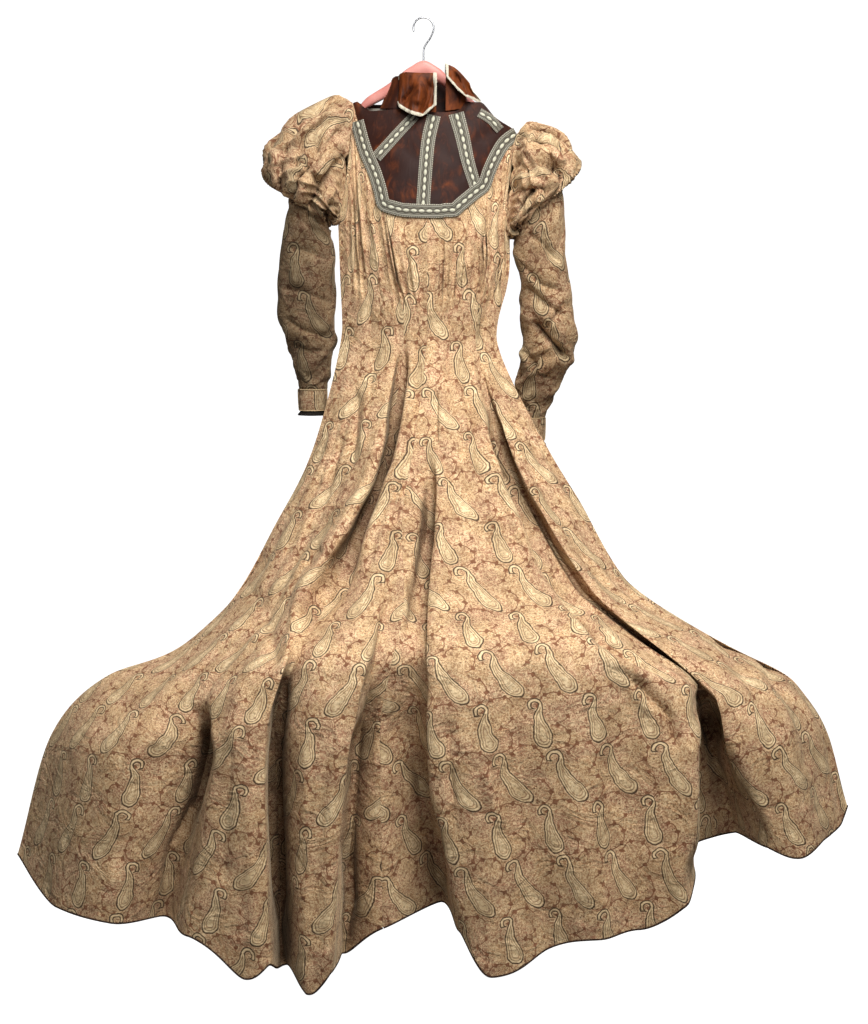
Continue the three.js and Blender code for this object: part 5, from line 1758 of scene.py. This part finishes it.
    def build(self, finishes: Finishes) -> None:
        """Builds both velvet halves, the neckline braid and the braids on the yoke."""
        self.velvet("yoke_front_velvet", "yoke_front", self.front_seam(217), FRONT_NECK, Face.FRONT,
                    finishes)
        self.velvet("yoke_back_velvet", "yoke_back", self.back_seam(145), BACK_NECK, Face.BACK,
                    finishes)
        seam = self.front_seam(145)[4:-1]
        self.braid("neckline_braid_front_trim", "neckline_braid_front", seam,
                   np.full(len(seam), self.neckline_width), 4.0, Face.FRONT, finishes)
        seam = self.back_seam(61)[5:-5]
        self.braid("neckline_braid_back_trim", "neckline_braid_back", seam,
                   np.full(len(seam), self.neckline_width), 2.6, Face.BACK, finishes)
        for node, widths, line in self.braids:
            place = np.linspace(0, len(line) - 1, 60)
            self.braid(f"{node}_trim", node, smooth(np.array(line, float), place),
                       np.linspace(*widths, 60), 2.0, Face.FRONT, finishes)


# Profile of the collar, foot to edge: how far out in millimetres, and the shares of rise and fall.
COLLAR_PROFILE = np.array([
    [0, 0, 0], [1, 0.5, 0], [3, 0.93, 0], [6.5, 1, 0], [10, 0.97, 0.04], [14, 1, 0.45],
    [19, 1, 0.75], [23, 1, 1],
])


@dataclass
class CollarHalf:
    """A velvet collar half that stands, turns over and falls in a ruffle edged with braid."""

    side: Side
    plan: Array
    rise: Tuple[float, ...]
    fall: Tuple[float, ...]
    spread: Tuple[float, ...]
    base: float
    waves: float
    flat: Tuple[float, float]
    area: float
    creases: Tuple[Crease, ...]
    drop: float = 8.0
    ruffle: float = 5.0
    columns: int = 150
    rows: int = 60

    def build(self, finishes: Finishes) -> None:
        """Builds and dresses the half and its edging."""
        last = len(self.plan) - 1
        place = np.linspace(0, last, self.columns)
        spots = smooth(self.plan, place)
        ahead = unit(smooth(self.plan, place + 0.05) - smooth(self.plan, place - 0.05))
        level = np.linspace(0, len(COLLAR_PROFILE) - 1, self.rows)
        out, up, down = (smooth(COLLAR_PROFILE[:, k], level)[:, None] for k in range(3))
        turn = 1 if self.side is Side.LEFT else -1
        wave = self.ruffle * down * np.cos(2 * math.pi * self.waves * place / last)[None]
        small = 1.3 * down * np.sin(2 * math.pi * (self.waves * 2.7) * place / last + 1)[None]
        reach = turn * (out + wave + small) * smooth(np.array(self.spread), place)[None]
        z = (self.base - self.drop * place / last)[None] + smooth(np.array(self.rise), place)[None] * up
        z = z - smooth(np.array(self.fall), place)[None] * down
        points = np.stack([spots[None, :, 0] - ahead[None, :, 1] * reach,
                           -(spots[None, :, 1] + ahead[None, :, 0] * reach), z], axis=-1)
        fold = sum(crease.lift(points[..., 0], points[..., 2]) for crease in self.creases)
        points[..., 1] -= fold * smoothstep(np.broadcast_to(down, fold.shape), 0.1, 0.5)
        if turn < 0:
            points = points[:, ::-1]
        node = f"collar_{self.side.word}"
        piece = cloth_wall(f"{node}_velvet", points, VELVET,
                           uv_pair(arc_lengths(points, 1), arc_lengths(points, 0)))
        # Painted highlight: the collar is shifted towards its lighter rust.
        dress(piece, finishes.velvet("velvet_collar", 0.16), [node])
        self.edging(f"{node}_edging", points, finishes)

    @staticmethod
    def edging(name: str, points: Array, finishes: Finishes) -> None:
        """A narrow looped braid sewn over the ruffle's edge: a ribbon on the last rows."""
        rim = np.concatenate([points[:, 0], points[-1, 1:-1], points[::-1, -1]])
        inner = np.concatenate([points[:, 3], points[-4, 1:-1], points[::-1, -4]])
        normals = grid_normals(points)
        out = np.concatenate([normals[:, 0], normals[-1, 1:-1], normals[::-1, -1]])
        start = int(0.22 * len(points))
        rim, inner, out = (part[start:-start] for part in (rim, inner, out))
        run = arc_lengths(rim[:, None], 0)[:, 0]
        even = np.linspace(0, run[-1], int(run[-1] / 0.6))
        rim, inner, out = (np.stack([np.interp(even, run, part[:, k]) for k in range(3)], -1)
                           for part in (rim, inner, out))
        inward = unit(inner - rim)
        loop = 1.1 * np.abs(np.sin(math.pi * even / 3.6))
        edges = np.array([-1.0, 0.0, 2.0, 4.0, 5.2])
        lifts = np.array([0.4, 0.9, 1.2, 0.9, 0.3])
        offset = edges[:, None] - (edges < -0.5)[:, None] * loop[None]
        strip = rim[None] + inward[None] * offset[..., None] + out[None] * lifts[:, None, None]
        piece = cloth_wall(name, strip, 0.9, uv_pair(even, offset),
                           normals=np.broadcast_to(out[None], strip.shape))
        looped = finishes.braid("edging", srgb(186, 178, 158), srgb(234, 228, 210), False)
        dress(piece, looped, [])


@dataclass
class Trimmings:
    """Hem bindings, neck tape, collar stand behind the neck, and the tab on the right arm."""

    binding_radius: float = 1.9
    binding_steps: int = 420
    tape_across: Tuple[float, float] = (-110, -74)
    tape_heights: Tuple[float, float] = (-173.5, -165.5)
    tape_inside: float = 3.4
    stand_across: Tuple[float, float] = (78, -50)
    stand_foot: float = -174.0
    stand_height: float = 64.0
    stand_lean: float = 6.0
    stand_inside: float = 4.0
    back: BackPanel = field(default_factory=BackPanel)

    def hem(self, finishes: Finishes) -> None:
        """Rolls a dark cord along the cut edge of the front halves and the back."""
        material = finishes.woven("binding", srgb(46, 32, 24), srgb(92, 68, 50), 1100)
        downs = np.linspace(LAST_STATION - 0.1, LAST_STATION, 3)
        gap = 0.008
        for side, start, stop in ((Side.LEFT, 0.0, CENTRE_SEAM - gap),
                                  (Side.RIGHT, CENTRE_SEAM + gap, float(LAST_FOLD))):
            folds = np.linspace(start, stop, self.binding_steps)
            node = f"hem_binding_{side.word}"
            dress(self.roll(f"{node}_cord", front_surface(folds, downs)), material, [node])
        across = np.linspace(0.995, 0.005, self.binding_steps)
        piece = self.roll("hem_binding_back_cord", self.back.surface(across, downs))
        dress(piece, material, [])

    def roll(self, name: str, points: Array) -> bpy.types.Object:
        """A cord just below the last row of a grid, square to the cloth's edge."""
        edge, out = points[-1], grid_normals(points)[-1]
        along = unit(np.gradient(edge, axis=0))
        below = unit(np.cross(along, out))
        below *= -np.sign(below[:, 2:3])
        path = edge - out * CLOTH / 2 + below * (self.binding_radius - 0.2)
        LOG.info("%s: %.2f m long", name, arc_lengths(path[:, None], 0)[-1, 0] * MM)
        return tube_along(name, path, self.binding_radius, np.array([0.0, 0.02, 1.0]), 10)

    def neck(self, finishes: Finishes) -> None:
        """The ivory tape inside the back of the neck and the velvet stand behind it."""
        z = np.linspace(*self.tape_heights, 10)[:, None]
        x = np.linspace(*self.tape_across, 60)[None]
        sag = 0.5 * np.sin(x / 7)
        rows = on_torso(x, z + sag * 0.3, sag * 0.4 - self.tape_inside, Face.BACK)
        piece = cloth_wall("neck_tape_woven", rows, 0.8, uv_pair(rows[..., 0], rows[..., 2]))
        ivory = finishes.woven("tape", srgb(228, 222, 206), srgb(244, 240, 228), 1800)
        dress(piece, ivory, ["neck_tape"])
        up = np.linspace(1, 0, 30)[:, None]
        x = np.linspace(*self.stand_across, 90)[None]
        foot = on_torso(x + 0 * up, self.stand_foot + 0 * x * up, -self.stand_inside, Face.BACK)
        back = (self.stand_lean + np.sin(x / 9)) * up
        rows = foot + np.stack(np.broadcast_arrays(0 * x, back, self.stand_height * up), -1)
        piece = cloth_wall("collar_back_velvet", rows, VELVET, uv_pair(rows[..., 0], rows[..., 2]))
        dress(piece, finishes.velvet(), ["collar_back"])

    def stand(self, finishes: Finishes) -> None:
        """The part of the left collar half that stands round the side of the neck."""
        foot = np.array([[-84, 2, -168], [-78, 22, -170], [-62, 34, -172], [-40, 38, -174]], float)
        top = np.array([[-60, 4, -112], [-52, 20, -110], [-44, 28, -112], [-32, 32, -118]], float)
        share = np.linspace(0, 1, 24)[:, None, None]
        place = np.linspace(0, 3, 60)
        rows = smooth(top, place)[None] * (1 - share) + smooth(foot, place)[None] * share
        rows[..., 1] = -rows[..., 1] - 2.0 * np.sin(place * 3.1)[None] * (1 - share[..., 0])
        piece = cloth_wall("collar_left_stand", rows, VELVET, uv_pair(rows[..., 0], rows[..., 2]))
        dress(piece, finishes.velvet("velvet_stand", -0.04), [])

    def tab(self, sleeve: Sleeve, finishes: Finishes) -> None:
        """The rounded tab on the right forearm with its small domed button."""
        down = np.linspace(0, 1, 24)
        width = 0.3 * np.sqrt(1 - np.maximum(0, 0.92 * (2 * down - 1)) ** 2)
        share = np.linspace(1, -1, 22)
        places = 11.75 + 0.8 * down
        rows = np.stack([sleeve.rings(np.array([p]), -(math.pi / 2 + w * share))[0]
                         for p, w in zip(places, width)])
        middle = np.stack([smooth(sleeve.table[:, 0], places), -smooth(sleeve.table[:, 5], places)], -1)
        away = rows.copy()
        away[..., :2] -= middle[:, None]
        away[..., 2] = 0
        away = unit(away)
        bulge = 0.6 * np.sin(math.pi * down)[:, None] * (1 - share ** 2)[None]
        rows = rows + away * (2.9 + bulge)[..., None]
        piece = cloth_wall("sleeve_tab_cloth", rows, BRAID, uv_pair(rows[..., 0], -rows[..., 2]),
                           normals=away)
        dress(piece, finishes.velveteen("velveteen_tab", 0.9), ["sleeve_tab_right"])
        self.button(rows[16, 11], away[16, 11], finishes)

    @staticmethod
    def button(place: Array, outward: Array, finishes: Finishes) -> None:
        """A small domed button that faces outward at a place of the tab."""
        centre = place + outward * 0.2
        radius = np.array([1.0, 0.97, 0.8, 0.5, 0.0]) * 3.6
        height = np.array([0.0, 0.7, 1.7, 2.2, 2.4])
        turns = round_turns(24)
        side = unit(np.cross(outward, [0, 0, 1.0]))
        upward = np.cross(side, outward)
        ring = np.cos(turns)[:, None] * side + np.sin(turns)[:, None] * upward
        dome = centre + radius[:, None, None] * ring[None] + height[:, None, None] * outward
        dome = np.concatenate([np.broadcast_to(centre, dome[:1].shape), dome])
        faces = ring_faces(*dome.shape[:2])
        vertices = dome.reshape(-1, 3)
        button = make_mesh("tab_button", vertices, faces, as_seen(vertices[faces]))
        covered = finishes.woven("button", srgb(96, 70, 50), srgb(140, 108, 80), 1500)
        dress(button, covered, [])


@dataclass
class Hanger:
    """The moulded hanger with its wire hook."""

    forward: float = 3.4
    wire_radius: float = 1.6
    hook_radius: float = 19.5
    steps: int = 140
    sides: int = 32
    arms: Tuple[Tuple[float, float, float, float], ...] = (
        (-121, -166, 6, 4), (-108, -157, 10, 6), (-66, -133, 12, 9), (-28, -106, 14, 10),
        (0, -95, 16, 11), (28, -106, 14, 10), (66, -140, 12, 9), (120, -184, 9, 7), (158, -220, 7, 5),
    )

    def build(self, finishes: Finishes) -> None:
        """Builds and dresses the arms and the hook."""
        table = np.array(self.arms, float)
        place = np.linspace(0, len(table) - 1, self.steps)
        x, z, high, deep = (smooth(table[:, k], place) for k in range(4))
        round_off = np.sqrt(np.clip(1 - np.abs(np.linspace(-1, 1, self.steps)) ** 60, 0, 1))
        round_off[[0, -1]] = 0
        turns = round_turns(self.sides)
        squared = (np.abs(np.cos(turns)) ** 4 + np.abs(np.sin(turns)) ** 4) ** -0.12
        y = -self.forward - (deep * round_off)[:, None] * (np.cos(turns) * squared)[None]
        up = z[:, None] + (high * round_off)[:, None] * (np.sin(turns) * squared)[None]
        points = np.stack(np.broadcast_arrays(x[:, None], y, up), axis=-1)
        faces = ring_faces(*points.shape[:2])
        vertices = points.reshape(-1, 3)
        body = make_mesh("hanger_moulding", vertices, faces, as_seen(vertices[faces]))
        dress(body, finishes.plastic(), ["hanger_body"])
        turn = np.radians(np.linspace(200, -25, 90))
        arc = np.stack([self.hook_radius * np.cos(turn), 0 * turn,
                        self.wire_radius - self.hook_radius + self.hook_radius * np.sin(turn)], -1)
        knots = np.array([arc[-1], [12.5, 0, -37], [6, 0, -46], [1.5, 0, -54], [0, 0, -62], [0, 0, -70],
                          [0, 0, -79.4]])
        shank = smooth(knots, np.linspace(0, len(knots) - 1, 50))[1:]
        hook = tube_along("hanger_wire_hook", np.concatenate([arc, shank]), self.wire_radius,
                          np.array([0.0, 1.0, 0.0]), 16)
        dress(hook, finishes.wire(), ["hanger_hook"])


@dataclass(frozen=True)
class Lamp:
    """A soft square light that looks at the gown, with its place and size in metres."""

    name: str
    eye: Tuple[float, float, float]
    size: float
    power: float
    colour: Tuple[float, float, float]


@dataclass(frozen=True)
class Studio:
    """Floor, backdrop, lights and the camera at the photograph's angle, in metres."""

    floor: float = -2.1
    target: Tuple[float, float, float] = (0.020, 0.0, -0.953)
    eye: Tuple[float, float, float] = (0.020, -2.971, -0.5355)
    lens: float = 35.156
    lit: Tuple[float, float, float] = (0.0, -0.2, -0.9)
    lamps: Tuple[Lamp, ...] = (
        Lamp("key", (0.8, -1.8, 2.3), 0.9, 115.0, (1.0, 0.97, 0.93)),
        Lamp("fill", (-2.4, -2.8, 0.2), 2.6, 5.0, (0.96, 0.97, 1.0)),
        Lamp("top", (0.3, -1.7, 0.6), 0.8, 34.0, (1.0, 0.99, 0.97)),
        Lamp("behind", (0.5, 3.0, 1.8), 2.8, 30.0, (1.0, 1.0, 1.0)),
    )

    def build(self) -> None:
        """Builds the whole setting."""
        self.backdrop()
        for lamp in self.lamps:
            self.light(lamp)
        world = bpy.data.worlds.new("studio")
        world.use_nodes = True
        background = world.node_tree.nodes["Background"]
        background.inputs["Color"].default_value = (0.95, 0.97, 1.0, 1)
        background.inputs["Strength"].default_value = 0.08
        bpy.context.scene.world = world
        bpy.context.scene.view_settings.view_transform = "Standard"
        camera = bpy.data.cameras.new("camera")
        camera.sensor_fit = "VERTICAL"
        camera.sensor_height = 24
        camera.lens = self.lens
        made = in_scene("camera", camera)
        self.aim(made, self.eye, self.target)
        bpy.context.scene.camera = made

    @staticmethod
    def aim(thing: bpy.types.Object, eye: Tuple[float, ...], target: Tuple[float, ...]) -> None:
        """Places an object and turns it to look at a point."""
        thing.location = eye
        way = Vector(target) - Vector(eye)
        thing.rotation_euler = way.to_track_quat("-Z", "Y").to_euler()

    def light(self, lamp: Lamp) -> None:
        """Hangs one lamp and turns it to the gown."""
        made = bpy.data.lights.new(lamp.name, "AREA")
        made.size = lamp.size
        made.energy = lamp.power
        made.color = lamp.colour
        self.aim(in_scene(lamp.name, made), lamp.eye, self.lit)

    def backdrop(self) -> None:
        """A pale sheet: a level floor that curves up behind the gown."""
        share = np.linspace(0, 1, 60)
        depth = np.interp(share, [0, 0.5, 0.7, 1], [-6, 3.2, 5.2, 5.2])
        rise = np.interp(share, [0, 0.5, 0.7, 1], [0, 0, 2.0, 8.0]) * smoothstep(share, 0.45, 0.75)
        x = np.linspace(-9, 9, 12)
        grid = np.stack(np.broadcast_arrays(x[None], depth[:, None], self.floor + rise[:, None]), -1)
        index = np.arange(grid.shape[0] * grid.shape[1]).reshape(grid.shape[:2])
        corners = [index[:-1, :-1], index[:-1, 1:], index[1:, 1:], index[1:, :-1]]
        faces = np.stack(corners, -1).reshape(-1, 4)
        mesh = bpy.data.meshes.new("floor")
        mesh.from_pydata(grid.reshape(-1, 3).tolist(), [], faces.tolist())
        mesh.shade_smooth()
        floor = in_scene("floor", mesh)
        material, g, shader = Finishes.blank("pale_floor", 0.9)
        shader.inputs["Base Color"].default_value = (0.3, 0.3, 0.3, 1)
        shader.inputs["Emission Color"].default_value = (1, 1, 1, 1)
        g.feed(shader.inputs["Emission Strength"], g.node("ShaderNodeLightPath").outputs["Is Camera Ray"])
        floor.data.materials.append(material)


def main() -> None:
    """Builds the gown piece by piece, then its setting."""
    logging.basicConfig(level=logging.INFO, format="%(message)s")
    finishes = Finishes()
    Hanger().build(finishes)
    FrontHalf(Side.LEFT, gores=(0.0, 7.0, float(CENTRE_SEAM)), flat=(1.0, 1.6),
              area=0.9).build(finishes)
    FrontHalf(Side.RIGHT, gores=(float(CENTRE_SEAM), 19.5, float(LAST_FOLD)), flat=(1.0, 1.6),
              area=0.97, columns_a_fold=12).build(finishes)
    back = BackPanel()
    back.build(finishes)
    Sleeve(Side.LEFT, LEFT_SLEEVE, LEFT_SLEEVE_CREASES, flat=(0.5, 0.62), area=0.22).build(finishes)
    right_sleeve = Sleeve(Side.RIGHT, RIGHT_SLEEVE, RIGHT_SLEEVE_CREASES, flat=(0.5, 0.66), area=0.21)
    right_sleeve.build(finishes)
    Cuff(Side.LEFT, x=-221.5, forward=-18, top=-708.8, end=-751, taper=1.5).build(finishes)
    Cuff(Side.RIGHT, x=217, forward=-66, top=-768.8, end=-815, taper=1).build(finishes)
    Yoke().build(finishes)
    CollarHalf(Side.LEFT, plan=np.array([[-46, 22], [-42, 32], [-28, 40], [-6, 44], [24, 45]], float),
               rise=(62, 67, 70, 70, 72), fall=(50, 56, 72, 80, 60), spread=(0.1, 0.35, 1, 1, 0.7),
               base=-172.3, waves=3, flat=(0.12, 0.15), area=0.0145,
               creases=LEFT_COLLAR_CREASES).build(finishes)
    CollarHalf(Side.RIGHT, plan=np.array([[80, 24], [78, 33], [68, 39], [56, 42], [42, 44]], float),
               rise=(36, 50, 66, 78, 86), fall=(26, 34, 43, 36, 26), spread=(1, 1, 1, 1, 0.6),
               base=-169.3, waves=2, flat=(0.09, 0.12), area=0.0065,
               creases=RIGHT_COLLAR_CREASES).build(finishes)
    trimmings = Trimmings(back=back)
    trimmings.hem(finishes)
    trimmings.neck(finishes)
    trimmings.stand(finishes)
    trimmings.tab(right_sleeve, finishes)
    Studio().build()


if __name__ == "__main__":
    main()
